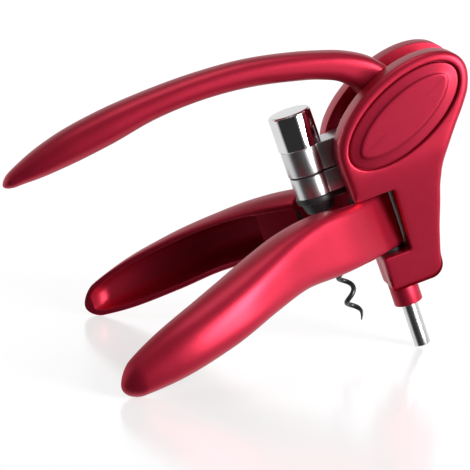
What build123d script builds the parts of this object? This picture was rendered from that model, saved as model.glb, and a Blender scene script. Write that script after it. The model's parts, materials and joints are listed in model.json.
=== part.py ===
"""Lever corkscrew, built as separate pieces with real joints.

The tool stands as it does on a table: on the lower end of its guide rod and on the tips of its
two opened grips. The row frame is +Z up, with the grips and the lever towards -X, the left side
at -Y, and the origin under the middle of the tool. Everything is drawn in the tool's own tilted
frame, where x runs from front to back, y from left to right and w up along the guide rod, with
the rod's lower end at the origin.
"""
import os
from math import acos, cos, degrees, pi, radians, sin, tan

from build123d import *

# ---------------------------------------------------------------- driving dimensions (mm)
TILT = 19.78           # the rod leans forwards by this much when the tool stands, degrees
OPEN_ANGLE = 28.0      # each grip's opening from closed, degrees
FOOT = (96.22, 0.0, 1.14)   # the rod's lower end in the row frame

ROD_R = 3.85           # guide rod
ROD_TOP = 118.5
RELIEF_LOW, RELIEF_DEEP = 22.2, 0.3   # relief groove that ends the rod's plain foot
BORE_R = 3.91          # every bore the rod slides in
WORM_X = -26.0         # the worm's axis, in front of the rod's

GEAR_MODULE = 1.0      # lever gear and rod rack
GEAR_TEETH = 40        # in a full circle
PRESSURE = radians(20)
BACKLASH = 0.16
GEAR_HALF = 4.0        # half the gear's thickness
RACK_X = 2.5           # pitch line of the rack
PITCH_R = GEAR_MODULE * GEAR_TEETH / 2
PIVOT = (RACK_X + PITCH_R, 113.0)
PIN_R = 4.0
LEVER_SWING = 160.0    # degrees

HEAD_C = (21.7, 114.9)      # middle of the oval head
HEAD_TURN = 24.6            # its long axis rises to the back, degrees
HEAD_A, HEAD_B = 37.8, 20.2
BADGE_A, BADGE_B = 32.7, 15.3
FRAME_HALF = 24.6      # half the head's width
GAP_HALF = 10.2        # half the gap between the two cheeks
FACE_TAPER = 13.4      # the outer faces lean in below the head, degrees
TAPER_W = 97.0         # where that taper starts

NOTCH_LOW, NOTCH_TOP = 50.2, 82.8   # the notch that holds the grips' knuckles
NOTCH_BACK = 7.2
COLLAR_R, COLLAR_LOW = 7.0, 22.5
BLOCK_LOW = 32.5
GAP_FLOOR = 86.0

SLEEVE_R = 5.0         # steel sleeve the grips turn on
KNUCKLE_R = 6.8
KNUCKLE_LOW, KNUCKLE_TOP = 52.0, 80.4
KNUCKLE_MID = 66.2
SIDE_PLAY = 0.35       # clearance between moving neighbours

JAW_R = 14.3           # bottle neck seat
PAD_WALL = 2.5
PAD_LOW, PAD_TOP = 57.0, 79.6

RING_R = 9.9           # carriage ring
LOW_RING_R = 9.6       # nut carrier ring
CAP_R = 10.35
CARRIER_LOW, CARRIER_TOP = 89.1, 99.5
CARRIAGE_LOW, CARRIAGE_TOP = 100.5, 113.3
CAP_TOP = 130.6

WIRE_R, HELIX_R, WORM_PITCH = 1.2, 2.7, 13.0
WORM_START = 26.4      # where the full coil begins, above the drawn-out point
SHANK_R = 2.6

# ---------------------------------------------------------------- frames and planes
TOOL = Plane(
    origin=FOOT,
    x_dir=(cos(radians(TILT)), 0, sin(radians(TILT))),
    z_dir=(-sin(radians(TILT)), 0, cos(radians(TILT))),
)
swing = radians(OPEN_ANGLE)
GRIP = Plane(origin=FOOT, x_dir=TOOL.x_dir * cos(swing) + TOOL.y_dir * sin(swing), z_dir=TOOL.z_dir)


def side(y=0.0, frame=TOOL):
    """Plane at y seen from the left: x to the right, w up, and its normal towards the left."""
    return Plane(origin=frame.from_local_coords((0, y, 0)), x_dir=frame.x_dir, z_dir=-frame.y_dir)


def level(w=0.0, frame=TOOL, x=0.0, y=0.0):
    """Plane square to the rod at height w, seen from above, with its origin at x, y."""
    return Plane(origin=frame.from_local_coords((x, y, w)), x_dir=frame.x_dir, z_dir=frame.z_dir)


def round_bar(radius, low, high, x=0.0, y=0.0, mode=Mode.ADD, frame=TOOL):
    """Cylinder along the rod's direction."""
    with BuildSketch(level(low, frame, x, y)) as spot:
        Circle(radius)
    extrude(spot.sketch, amount=high - low, mode=mode)


def cross_bar(radius, at, left, right, mode=Mode.ADD):
    """Cylinder along y, at side position at, from y = left to y = right."""
    with BuildSketch(side(right)) as spot:
        with Locations(at):
            Circle(radius)
    extrude(spot.sketch, amount=right - left, mode=mode)


def polar(radius, angle, centre=(0.0, 0.0)):
    """Point at radius and angle in degrees round centre."""
    return (centre[0] + radius * cos(radians(angle)), centre[1] + radius * sin(radians(angle)))


def involute(angle):
    return tan(angle) - angle


def finish(piece, name):
    piece.part.label = name
    export_step(piece.part, f"parts/{name}.step")


os.makedirs("parts", exist_ok=True)

# ---------------------------------------------------------------- frame halves
SCREWS = ((12.5, 40.5), (18.5, 60.0), (25.5, 77.0))
SCREW_R, SCREW_HEAD_R, SCREW_HEAD = 1.5, 2.8, 2.4
BADGE_DEPTH = 3.4

with BuildPart() as left_frame:
    with BuildSketch(side(0)):
        with BuildLine():
            low_front = (-6.8, BLOCK_LOW)
            Polyline((-13.7, 104), (-12.8, NOTCH_TOP), (NOTCH_BACK, NOTCH_TOP), (NOTCH_BACK, NOTCH_LOW),
                     (-7.3, NOTCH_LOW), low_front, (10, BLOCK_LOW))
            ThreePointArc((10, BLOCK_LOW), (17.4, 35.3), (20.2, 42))
            Spline((20.2, 42), (23, 55), (27.6, 70), (33.2, 86), (43.8, 101.6), (54.6, 117.5))
            Line((54.6, 117.5), (-13.7, 104))
        make_face()
        with Locations(HEAD_C):
            Ellipse(HEAD_A, HEAD_B, rotation=HEAD_TURN)
    extrude(amount=FRAME_HALF)
    taper_from = TOOL.from_local_coords((0, -FRAME_HALF, TAPER_W))
    lean = radians(FACE_TAPER)
    down_out = -TOOL.z_dir * sin(lean) - TOOL.y_dir * cos(lean)
    split(bisect_by=Plane(origin=taper_from, z_dir=down_out), keep=Keep.BOTTOM)
    with BuildSketch(level(COLLAR_LOW)):
        Circle(COLLAR_R)
    extrude(amount=NOTCH_LOW - COLLAR_LOW - 1)
    # lever gap, with a round clearance for the lever's root, and room for the knuckles
    with BuildSketch(side(0)):
        with Locations((20, GAP_FLOOR + 40)):
            Rectangle(100, 80)
        with Locations(PIVOT):
            Circle(31)
    extrude(amount=GAP_HALF, mode=Mode.SUBTRACT)
    round_bar(9.9, NOTCH_LOW, NOTCH_TOP, mode=Mode.SUBTRACT)
    # rod, sleeve and bush bores
    round_bar(BORE_R, COLLAR_LOW, GAP_FLOOR, mode=Mode.SUBTRACT)
    round_bar(5.2, COLLAR_LOW, NOTCH_LOW - 4, mode=Mode.SUBTRACT)
    round_bar(SLEEVE_R, NOTCH_LOW - 4, GAP_FLOOR, mode=Mode.SUBTRACT)
    # badge recess, cavity behind it, pivot bore and its counterbore
    with BuildSketch(side(-FRAME_HALF + BADGE_DEPTH)):
        with Locations(HEAD_C):
            Ellipse(BADGE_A, BADGE_B, rotation=HEAD_TURN)
    extrude(amount=2 * BADGE_DEPTH, mode=Mode.SUBTRACT)
    cross_bar(PIN_R, PIVOT, -FRAME_HALF, 0, mode=Mode.SUBTRACT)
    cross_bar(6.0, PIVOT, -FRAME_HALF, -FRAME_HALF + BADGE_DEPTH + 1.8, mode=Mode.SUBTRACT)
    # screw holes
    for at in SCREWS:
        cross_bar(SCREW_R, at, -8, 1, mode=Mode.SUBTRACT)
    # only the left half stays
    split(bisect_by=Plane(origin=FOOT, z_dir=(0, 1, 0)), keep=Keep.BOTTOM)
finish(left_frame, "left_frame")

with BuildPart() as right_frame:
    mirror(left_frame.part, about=Plane.XZ)
    for at in SCREWS:
        face = FRAME_HALF - (TAPER_W - at[1]) * tan(lean)
        cross_bar(SCREW_R, at, -1, FRAME_HALF, mode=Mode.SUBTRACT)
        cross_bar(SCREW_HEAD_R, at, face - 3, FRAME_HALF, mode=Mode.SUBTRACT)
finish(right_frame, "right_frame")

with BuildPart() as frame_screws:
    for at in SCREWS:
        seat = FRAME_HALF - (TAPER_W - at[1]) * tan(lean) - 3
        cross_bar(SCREW_R, at, -7.5, seat)
        cross_bar(SCREW_HEAD_R - 0.15, at, seat, seat + SCREW_HEAD)
finish(frame_screws, "frame_screws")

with BuildPart() as left_badge:
    with BuildSketch(side(-FRAME_HALF + BADGE_DEPTH)):
        with Locations(HEAD_C):
            Ellipse(BADGE_A - 0.4, BADGE_B - 0.4, rotation=HEAD_TURN)
    extrude(amount=BADGE_DEPTH - 0.5)
    with BuildSketch(side(-FRAME_HALF + 0.5)) as rim:
        with Locations(HEAD_C):
            Ellipse(BADGE_A - 0.4, BADGE_B - 0.4, rotation=HEAD_TURN)
    with BuildSketch(side(-FRAME_HALF - 0.4)) as crown:
        with Locations(HEAD_C):
            Ellipse(BADGE_A - 7.0, BADGE_B - 5.0, rotation=HEAD_TURN)
    loft(sections=[rim.sketch.face(), crown.sketch.face()], ruled=True)
finish(left_badge, "left_badge")

with BuildPart() as right_badge:
    mirror(left_badge.part, about=Plane.XZ)
finish(right_badge, "right_badge")

# ---------------------------------------------------------------- bearings held in the frame
with BuildPart() as rod_bush:
    round_bar(5.2, COLLAR_LOW, NOTCH_LOW - 4)
    round_bar(BORE_R, COLLAR_LOW, NOTCH_LOW - 4, mode=Mode.SUBTRACT)
finish(rod_bush, "rod_bush")

with BuildPart() as hinge_sleeve:
    round_bar(SLEEVE_R, NOTCH_LOW - 4, GAP_FLOOR)
    round_bar(BORE_R, NOTCH_LOW - 4, GAP_FLOOR, mode=Mode.SUBTRACT)
finish(hinge_sleeve, "hinge_sleeve")

with BuildPart() as hinge_washers:
    for low, high in ((NOTCH_LOW, KNUCKLE_LOW - 0.2), (KNUCKLE_TOP + 0.2, NOTCH_TOP)):
        round_bar(KNUCKLE_R, low, high)
        round_bar(SLEEVE_R, low, high, mode=Mode.SUBTRACT)
finish(hinge_washers, "hinge_washers")

PIN_SEAT = FRAME_HALF - BADGE_DEPTH - 1.8
with BuildPart() as pivot_pin:
    cross_bar(PIN_R, PIVOT, -PIN_SEAT, PIN_SEAT + 1.6)
    cross_bar(5.8, PIVOT, -PIN_SEAT - 1.6, -PIN_SEAT)
finish(pivot_pin, "pivot_pin")

with BuildPart() as pivot_clip:
    cross_bar(5.8, PIVOT, PIN_SEAT, PIN_SEAT + 1.2)
    cross_bar(PIN_R, PIVOT, PIN_SEAT, PIN_SEAT + 1.2, mode=Mode.SUBTRACT)
finish(pivot_clip, "pivot_clip")

# ---------------------------------------------------------------- nut carrier and nut
ARM_HALF = 7.6


def carrier_plan(low, ring_r, back, inset=0.0):
    """Ring round the worm's axis with an arm that runs back to the rod."""
    with BuildSketch(level(low)) as plan:
        with Locations((WORM_X, 0)):
            Circle(ring_r - inset)
        with Locations((WORM_X / 2, 0)):
            Rectangle(-WORM_X, 2 * (ARM_HALF - inset))
        if back > 0:
            Circle(back - inset)
    return plan.sketch


with BuildPart() as nut_carrier:
    extrude(carrier_plan(CARRIER_LOW, LOW_RING_R, 5.9), amount=CARRIER_TOP - CARRIER_LOW)
    with BuildSketch(level(CARRIER_LOW)) as shoes:
        with Locations((-5.5, 0)):
            Rectangle(9, 2 * GAP_HALF)
    extrude(shoes.sketch, amount=CARRIER_TOP - CARRIER_LOW)
    round_bar(BORE_R, CARRIER_LOW, CARRIER_TOP, mode=Mode.SUBTRACT)
    round_bar(4.7, CARRIER_LOW, CARRIER_TOP, x=WORM_X, mode=Mode.SUBTRACT)
    cross_bar(1.6, (WORM_X, 93.8), -LOW_RING_R - 1, 0, mode=Mode.SUBTRACT)
finish(nut_carrier, "nut_carrier")

with BuildPart() as carrier_set_screw:
    cross_bar(1.6, (WORM_X, 93.8), -LOW_RING_R + 0.3, -4.9)
    with BuildSketch(side(-LOW_RING_R + 0.3)) as socket:
        with Locations((WORM_X, 93.8)):
            RegularPolygon(0.8, 6)
    extrude(socket.sketch, amount=-1.5, mode=Mode.SUBTRACT)
finish(carrier_set_screw, "carrier_set_screw")

with BuildPart() as spacer_plate:
    extrude(carrier_plan(CARRIER_TOP, LOW_RING_R, 5.4, inset=0.3), amount=0.9)
    round_bar(4.0, CARRIER_TOP, CARRIAGE_LOW, mode=Mode.SUBTRACT)
    round_bar(4.9, CARRIER_TOP, CARRIAGE_LOW, x=WORM_X, mode=Mode.SUBTRACT)
finish(spacer_plate, "spacer_plate")

NUT_LOW, NUT_MID = 80.8, 86.2
NUT_PIN_W = 83.2
nut_angle = (NUT_PIN_W - WORM_START) / WORM_PITCH * 360 + 180
NUT_SCREWS = ((WORM_X + 7.2, 4.6), (WORM_X + 7.2, -4.6))

with BuildPart() as nut:
    with BuildSketch(level(NUT_MID)) as plate:
        with Locations((WORM_X, 0)):
            Circle(LOW_RING_R + 0.4)
        with Locations((WORM_X + 7.5, 0)):
            Rectangle(15, 2 * ARM_HALF)
    extrude(plate.sketch, amount=CARRIER_LOW - NUT_MID)
    with BuildSketch(level(NUT_LOW)) as nose:
        with Locations((WORM_X, 0)):
            Circle(7.0)
    extrude(nose.sketch, amount=NUT_MID - NUT_LOW, taper=-18)
    round_bar(4.5, NUT_LOW, CARRIER_LOW, x=WORM_X, mode=Mode.SUBTRACT)
    pin_at = TOOL.from_local_coords((WORM_X, 0, NUT_PIN_W))
    pin_dir = TOOL.x_dir * cos(radians(nut_angle)) + TOOL.y_dir * sin(radians(nut_angle))
    with BuildSketch(Plane(origin=pin_at, z_dir=pin_dir)) as spot:
        Circle(1.1)
    extrude(spot.sketch, amount=11, mode=Mode.SUBTRACT)
    for x, y in NUT_SCREWS:
        round_bar(1.0, NUT_MID - 1, CARRIER_LOW, x=x, y=y, mode=Mode.SUBTRACT)
finish(nut, "nut")

with BuildPart() as nut_pin:
    with BuildSketch(Plane(origin=pin_at + pin_dir * 2.9, z_dir=pin_dir)):
        Circle(1.1)
    extrude(amount=4.0)
finish(nut_pin, "nut_pin")

with BuildPart() as nut_screws:
    for x, y in NUT_SCREWS:
        round_bar(1.0, NUT_MID - 0.9, CARRIER_LOW, x=x, y=y)
finish(nut_screws, "nut_screws")

# ---------------------------------------------------------------- lever
RIVETS = [polar(11.6, angle, PIVOT) for angle in (200, 262, 324)]
RIVET_R = 1.5
EAR_HALF = 9.8

with BuildPart() as lever:
    with BuildSketch(side(12)):
        with BuildLine():
            Spline((27.5, 137.2), (10.3, 148.5), (-21.4, 158.8), (-58, 164.1), (-95, 163.9),
                   (-134, 160.2), (-155.2, 153.6))
            ThreePointArc((-155.2, 153.6), (-163.3, 146.4), (-157, 142.4))
            Spline((-157, 142.4), (-134, 143.0), (-110.9, 145.6), (-75.6, 149.7), (-38, 147.6),
                   (-6.8, 139.6), (9, 124))
            Line((9, 124), PIVOT)
            Line(PIVOT, polar(16.5, 10, PIVOT))
            ThreePointArc(polar(16.5, 10, PIVOT), (40.4, 127.5), (27.5, 137.2))
        make_face()
        with Locations(PIVOT):
            Circle(16.5)
    extrude(amount=24)
    with BuildSketch(level(90)):
        with BuildLine():
            Polyline((-5, EAR_HALF), (45, EAR_HALF), (45, -EAR_HALF), (-5, -EAR_HALF))
            Spline((-5, -EAR_HALF), (-40, -9.8), (-80, -10.8), (-115, -11.6), (-145, -9.0),
                   (-163.4, 0), (-145, 9.0), (-115, 11.6), (-80, 10.8), (-40, 9.8), (-5, EAR_HALF))
        make_face()
    extrude(amount=90, mode=Mode.INTERSECT)
    with BuildSketch(side(GEAR_HALF + 0.1)):
        with Locations(PIVOT):
            Circle(16.6)
    extrude(amount=2 * GEAR_HALF + 0.2, mode=Mode.SUBTRACT)
    cross_bar(6.0, PIVOT, -12, 12, mode=Mode.SUBTRACT)
    for at in RIVETS:
        cross_bar(RIVET_R, at, -12, 12, mode=Mode.SUBTRACT)
finish(lever, "lever")

with BuildPart() as lever_bushes:
    for left, right in ((-EAR_HALF, -GEAR_HALF - 0.1), (GEAR_HALF + 0.1, EAR_HALF)):
        cross_bar(6.0, PIVOT, left, right)
        cross_bar(PIN_R + 0.05, PIVOT, left, right, mode=Mode.SUBTRACT)
finish(lever_bushes, "lever_bushes")

BASE_R = PITCH_R * cos(PRESSURE)
TIP_R, ROOT_R = PITCH_R + 0.95 * GEAR_MODULE, PITCH_R - 1.25 * GEAR_MODULE
STEP = 360 / GEAR_TEETH
SECTOR = (180 - 1.5 * STEP, 180 + LEVER_SWING + 1.5 * STEP)


def flank(radius):
    """Half the angle, in degrees, that an involute tooth covers at this radius."""
    at_pitch = (pi * GEAR_MODULE - BACKLASH) / 4 / PITCH_R
    return degrees(at_pitch + involute(PRESSURE) - involute(acos(min(1.0, BASE_R / radius))))


with BuildPart() as gear_sector:
    with BuildSketch(side(GEAR_HALF)):
        with BuildLine():
            Line(PIVOT, polar(ROOT_R, SECTOR[0], PIVOT))
            ThreePointArc(*(polar(ROOT_R, angle, PIVOT) for angle in
                            (SECTOR[0], sum(SECTOR) / 2, SECTOR[1])))
            Line(polar(ROOT_R, SECTOR[1], PIVOT), PIVOT)
        make_face()
        with Locations(PIVOT):
            Circle(11)
        radii = [BASE_R + (TIP_R - BASE_R) * k / 4 for k in range(5)]
        for tooth in range(-1, round(LEVER_SWING / STEP) + 2):
            middle = 180 + tooth * STEP
            rising = [polar(radius, middle - flank(radius), PIVOT) for radius in radii]
            falling = [polar(radius, middle + flank(radius), PIVOT) for radius in reversed(radii)]
            root = [polar(ROOT_R - 0.3, middle + sign * flank(BASE_R), PIVOT) for sign in (1, -1)]
            with BuildLine():
                Polyline(*rising, *falling, *root, close=True)
            make_face()
    extrude(amount=2 * GEAR_HALF)
    cross_bar(PIN_R + 0.05, PIVOT, -5, 5, mode=Mode.SUBTRACT)
    for at in RIVETS:
        cross_bar(RIVET_R, at, -5, 5, mode=Mode.SUBTRACT)
finish(gear_sector, "gear_sector")

with BuildPart() as gear_rivets:
    for at in RIVETS:
        cross_bar(RIVET_R, at, -EAR_HALF, EAR_HALF)
finish(gear_rivets, "gear_rivets")

# ---------------------------------------------------------------- carriage
PIN_AT = (-1.7, 107.0)

with BuildPart() as guide_rod:
    round_bar(ROD_R, 0, ROD_TOP)
    chamfer(guide_rod.edges().filter_by(GeomType.CIRCLE), 0.5)
    with BuildSketch(side(ROD_R)) as flat:
        with Locations((RACK_X + 1.0 + 2, 85)):
            Rectangle(4, 70)
    extrude(flat.sketch, amount=2 * ROD_R, mode=Mode.SUBTRACT)
    with BuildSketch(level(RELIEF_LOW)) as relief:
        Circle(ROD_R + 1)
        Circle(ROD_R - RELIEF_DEEP, mode=Mode.SUBTRACT)
    extrude(relief.sketch, amount=1.5, mode=Mode.SUBTRACT)
    half = (pi * GEAR_MODULE + BACKLASH) / 4
    travel = radians(LEVER_SWING) * PITCH_R
    deep, out = -1.25, 2.1
    with BuildSketch(side(ROD_R)) as grooves:
        for k in range(-round(travel / (pi * GEAR_MODULE)) - 2, 2):
            middle = PIVOT[1] + k * pi * GEAR_MODULE
            with BuildLine():
                Polyline(*((RACK_X + x, middle + sign * (half + x * tan(PRESSURE)))
                           for x, sign in ((deep, -1), (out, -1), (out, 1), (deep, 1))), close=True)
            make_face()
    extrude(grooves.sketch, amount=2 * ROD_R, mode=Mode.SUBTRACT)
    cross_bar(1.0, PIN_AT, -5, 5, mode=Mode.SUBTRACT)
finish(guide_rod, "guide_rod")

with BuildPart() as carriage:
    extrude(carrier_plan(CARRIAGE_LOW, RING_R, 0), amount=CARRIAGE_TOP - CARRIAGE_LOW)
    with BuildSketch(level(CARRIAGE_LOW)) as shoes:
        with Locations((-4.5, 0)):
            Rectangle(11, 2 * (GAP_HALF - 0.3))
    extrude(shoes.sketch, amount=CARRIAGE_TOP - CARRIAGE_LOW)
    round_bar(8.2, CARRIAGE_TOP, CARRIAGE_TOP + 2, x=WORM_X)
    round_bar(ROD_R, CARRIAGE_LOW, CARRIAGE_TOP, mode=Mode.SUBTRACT)
    round_bar(4.6, CARRIAGE_LOW, CARRIAGE_TOP + 2, x=WORM_X, mode=Mode.SUBTRACT)
    cross_bar(1.0, PIN_AT, -11, 11, mode=Mode.SUBTRACT)
finish(carriage, "carriage")

with BuildPart() as carriage_pin:
    cross_bar(1.0, PIN_AT, -9.5, 9.5)
finish(carriage_pin, "carriage_pin")

with BuildPart() as spindle_bearing:
    round_bar(4.6, CARRIAGE_LOW, CARRIAGE_TOP + 2, x=WORM_X)
    round_bar(SHANK_R + 0.05, CARRIAGE_LOW, CARRIAGE_TOP + 2, x=WORM_X, mode=Mode.SUBTRACT)
finish(spindle_bearing, "spindle_bearing")

with BuildPart() as cap:
    round_bar(CAP_R, CARRIAGE_TOP, CAP_TOP, x=WORM_X)
    fillet(cap.edges().filter_by(GeomType.CIRCLE).sort_by(Axis(FOOT, TOOL.z_dir))[-1], 1.2)
    round_bar(8.2, CARRIAGE_TOP, CAP_TOP - 2.5, x=WORM_X, mode=Mode.SUBTRACT)
finish(cap, "cap")

# ---------------------------------------------------------------- worm
SHOULDER_R, SHOULDER = 4.2, 1.9
SHANK_LOW, SHANK_TOP = CARRIAGE_LOW - 0.2, 121.0

with BuildPart() as worm:
    round_bar(SHOULDER_R, SHANK_LOW - SHOULDER, SHANK_LOW, x=WORM_X)
    round_bar(SHANK_R, SHANK_LOW - 1, SHANK_TOP, x=WORM_X)
    coil = Edge.make_helix(WORM_PITCH, SHANK_LOW - 1.0 - WORM_START, HELIX_R)
    coil = coil.moved(level(WORM_START, x=WORM_X).location)
    with BuildSketch(Plane(origin=coil @ 0, z_dir=coil % 0)) as wire:
        Circle(WIRE_R)
    add(Solid.sweep(wire.sketch.face(), path=coil, is_frenet=True))
    with BuildSketch(Plane(origin=coil @ 0, z_dir=-(coil % 0))) as tip:
        Circle(WIRE_R)
    extrude(tip.sketch, amount=4.0, taper=13)
finish(worm, "worm")

with BuildPart() as spindle_collar:
    round_bar(5.4, CARRIAGE_TOP + 2.1, CARRIAGE_TOP + 4.6, x=WORM_X)
    round_bar(SHANK_R, CARRIAGE_TOP + 2.1, CARRIAGE_TOP + 4.6, x=WORM_X, mode=Mode.SUBTRACT)
finish(spindle_collar, "spindle_collar")

# ---------------------------------------------------------------- grips, drawn closed
INNER_Y = -0.5         # the grip's joint face

with BuildPart() as pad_blank:
    with BuildSketch(side(INNER_Y - 0.3, GRIP)):
        with Locations((-30.5, (PAD_LOW + PAD_TOP) / 2)):
            RectangleRounded(42, PAD_TOP - PAD_LOW, 5)
    extrude(amount=4)
    round_bar(JAW_R + PAD_WALL, PAD_LOW, PAD_TOP, x=WORM_X, frame=GRIP)
    split(bisect_by=side(INNER_Y - 0.3, GRIP), keep=Keep.TOP)

with BuildPart() as left_jaw_pad:
    add(pad_blank.part)
    round_bar(JAW_R, PAD_LOW, PAD_TOP, x=WORM_X, frame=GRIP, mode=Mode.SUBTRACT)
finish(left_jaw_pad, "left_jaw_pad")

with BuildPart() as channel:
    with BuildSketch(side(INNER_Y + 1, GRIP)):
        with BuildLine():
            Spline((-62, 83.0), (-97, 79.8), (-130, 73.4), (-150, 66.4), (-157, 61.6))
            ThreePointArc((-157, 61.6), (-160.5, 56.5), (-156, 52.9))
            Spline((-156, 52.9), (-146, 53.2), (-116, 55.6), (-88, 59.8), (-62, 61.8))
            Line((-62, 61.8), (-62, 83.0))
        make_face()
    extrude(amount=30)
    with BuildSketch(level(KNUCKLE_LOW - 10, GRIP)):
        with BuildLine():
            Line((-61, INNER_Y + 1), (-61, -19.2))
            Spline((-61, -19.2), (-80, -21.8), (-115, -22.8), (-145, -15.6), (-161, INNER_Y + 1))
            Line((-161, INNER_Y + 1), (-61, INNER_Y + 1))
        make_face()
    extrude(amount=60, mode=Mode.INTERSECT)

with BuildPart() as grip_blank:
    with BuildSketch(side(INNER_Y, GRIP)):
        with BuildLine():
            Polyline((-7, KNUCKLE_LOW), (2.6, KNUCKLE_LOW), (2.6, KNUCKLE_TOP), (-7, KNUCKLE_TOP))
            Spline((-7, KNUCKLE_TOP), (-37, 84.2), (-60, 86.3), (-97, 82.9), (-130, 76.5),
                   (-150, 69.6), (-162.5, 60.5))
            ThreePointArc((-162.5, 60.5), (-165.5, 54.0), (-160, 49.8))
            Spline((-160, 49.8), (-146, 50.0), (-116, 52.4), (-88, 56.6), (-66, 58.4), (-45, 54.6),
                   (-25, 52.1), (-7, KNUCKLE_LOW))
        make_face()
    extrude(amount=30)
    with BuildSketch(level(KNUCKLE_LOW - 10, GRIP)):
        with BuildLine():
            Spline((-166.2, INNER_Y), (-150, -3.9), (-130, -6.4), (-105, -6.2), (-80, -3.2),
                   (-62, INNER_Y), tangents=((1, -0.3), (1, 0)))
            Polyline((-62, INNER_Y), (3, INNER_Y), (3, -9.2), (-4, -9.4))
            Spline((-4, -9.4), (-14, -14.8), (-28, -19.8), (-50, -22.7), (-80, -25.3),
                   (-115, -26.0), (-145, -18.8), (-160, -9.0), (-166.2, INNER_Y))
        make_face()
    extrude(amount=60, mode=Mode.INTERSECT)
    add(channel.part, mode=Mode.SUBTRACT)
    add(pad_blank.part, mode=Mode.SUBTRACT)
    round_bar(JAW_R + 0.4, KNUCKLE_LOW - 5, KNUCKLE_TOP + 10, x=WORM_X, frame=GRIP, mode=Mode.SUBTRACT)

LOWER = (KNUCKLE_LOW, KNUCKLE_MID - 0.2)
UPPER = (KNUCKLE_MID + 0.2, KNUCKLE_TOP)

# each grip has one knuckle, and leaves room for the other grip's
with BuildPart() as left_grip:
    add(grip_blank.part)
    round_bar(KNUCKLE_R + SIDE_PLAY, LOWER[1], UPPER[1] + 1, mode=Mode.SUBTRACT)
    round_bar(KNUCKLE_R, *LOWER)
    round_bar(SLEEVE_R + 0.06, LOWER[0], UPPER[1], mode=Mode.SUBTRACT)
finish(left_grip, "left_grip")

with BuildPart() as right_grip:
    mirror(grip_blank.part, about=Plane.XZ)
    round_bar(KNUCKLE_R + SIDE_PLAY, LOWER[0] - 1, UPPER[0], mode=Mode.SUBTRACT)
    round_bar(KNUCKLE_R, *UPPER)
    round_bar(SLEEVE_R + 0.06, LOWER[0], UPPER[1], mode=Mode.SUBTRACT)
finish(right_grip, "right_grip")

with BuildPart() as right_jaw_pad:
    mirror(left_jaw_pad.part, about=Plane.XZ)
finish(right_jaw_pad, "right_jaw_pad")
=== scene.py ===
"""Lever corkscrew: the visible surfaces, finishes, studio and camera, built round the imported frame.

Shapes are worked out with numpy in the tool's own frame, in millimetres: x runs to the back, y to the
right and w up along the guide rod, with the rod's lower end at the origin. ToolFrame carries them into
the row frame, in metres. The grips are drawn closed and then turned open about the rod.
"""

import json
import logging
from dataclasses import dataclass
from enum import Enum
from math import atan2, cos, pi, radians, sin, tan
from typing import Callable, Sequence

import bmesh
import bpy
import numpy as np
from mathutils import Matrix, Vector
from mathutils.geometry import delaunay_2d_cdt

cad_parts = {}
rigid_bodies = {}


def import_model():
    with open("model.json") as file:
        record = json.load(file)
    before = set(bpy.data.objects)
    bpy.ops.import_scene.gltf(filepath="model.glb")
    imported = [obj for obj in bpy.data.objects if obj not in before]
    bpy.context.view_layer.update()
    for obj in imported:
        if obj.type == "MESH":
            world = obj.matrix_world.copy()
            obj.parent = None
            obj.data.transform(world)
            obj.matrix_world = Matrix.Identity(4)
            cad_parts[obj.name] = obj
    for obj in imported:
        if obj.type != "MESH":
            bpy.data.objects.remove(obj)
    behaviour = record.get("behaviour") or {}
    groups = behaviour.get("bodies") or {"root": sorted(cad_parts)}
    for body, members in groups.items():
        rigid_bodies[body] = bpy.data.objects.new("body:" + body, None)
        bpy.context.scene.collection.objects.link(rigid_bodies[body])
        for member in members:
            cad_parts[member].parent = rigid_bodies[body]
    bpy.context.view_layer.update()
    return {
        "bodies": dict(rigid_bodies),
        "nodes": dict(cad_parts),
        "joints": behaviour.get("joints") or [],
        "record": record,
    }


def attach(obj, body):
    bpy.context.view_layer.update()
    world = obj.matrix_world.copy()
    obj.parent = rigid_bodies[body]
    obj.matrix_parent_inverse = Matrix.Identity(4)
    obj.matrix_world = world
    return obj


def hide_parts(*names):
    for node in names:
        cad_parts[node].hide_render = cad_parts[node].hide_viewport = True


LOG = logging.getLogger("corkscrew")

Array = np.ndarray
Pairs = Sequence[tuple[float, float]]

MM = 0.001
WELD = 1e-6            # metres; points nearer than this are one point
SHARP = radians(38)    # edges that turn more than this are shaded sharp

WORM_X = -26.0         # the worm's axis, in front of the rod's
ROD_R = 3.85
HINGE_W = 59.0         # height at which the record gives the left grip's hinge
OPEN_ANGLE = radians(28)
PIVOT = (22.5, 113.0)  # the lever's pivot, seen from the side
GAP_HALF = 10.2        # half the gap between the cheeks


# ---------------------------------------------------------------------------------- curves
def through(table: Pairs, at: Array) -> Array:
    """Reads a smooth curve through (place, value) pairs at the places asked for.

    Each span is a cubic Hermite piece, and the slope at a pair is that of its neighbours.

    Args:
        table: Pairs in rising order of place.
        at: Places to read; those past an end take that end's value.

    Returns:
        The values, in the shape of at.
    """
    place, value = np.asarray(table, float).T
    slope = np.gradient(value, place)
    at = np.clip(at, place[0], place[-1])
    k = np.clip(np.searchsorted(place, at, side="right") - 1, 0, len(place) - 2)
    span = place[k + 1] - place[k]
    u = (at - place[k]) / span
    return ((2 * u ** 3 - 3 * u ** 2 + 1) * value[k] + (u ** 3 - 2 * u ** 2 + u) * span * slope[k]
            + (3 * u ** 2 - 2 * u ** 3) * value[k + 1] + (u ** 3 - u ** 2) * span * slope[k + 1])


def curve(points: Pairs, step: float) -> Array:
    """Points about step apart on the smooth curve through the points given.

    Args:
        points: Two-dimensional points, in order.
        step: Distance between the points returned.

    Returns:
        An array of points, the given ends included.
    """
    p = np.asarray(points, float)
    along = np.concatenate([[0], np.cumsum(np.linalg.norm(np.diff(p, axis=0), axis=1))])
    at = np.linspace(0, along[-1], max(2, int(along[-1] / step) + 1))
    return np.stack([through(list(zip(along, p[:, axis])), at) for axis in range(p.shape[1])], axis=1)


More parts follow.
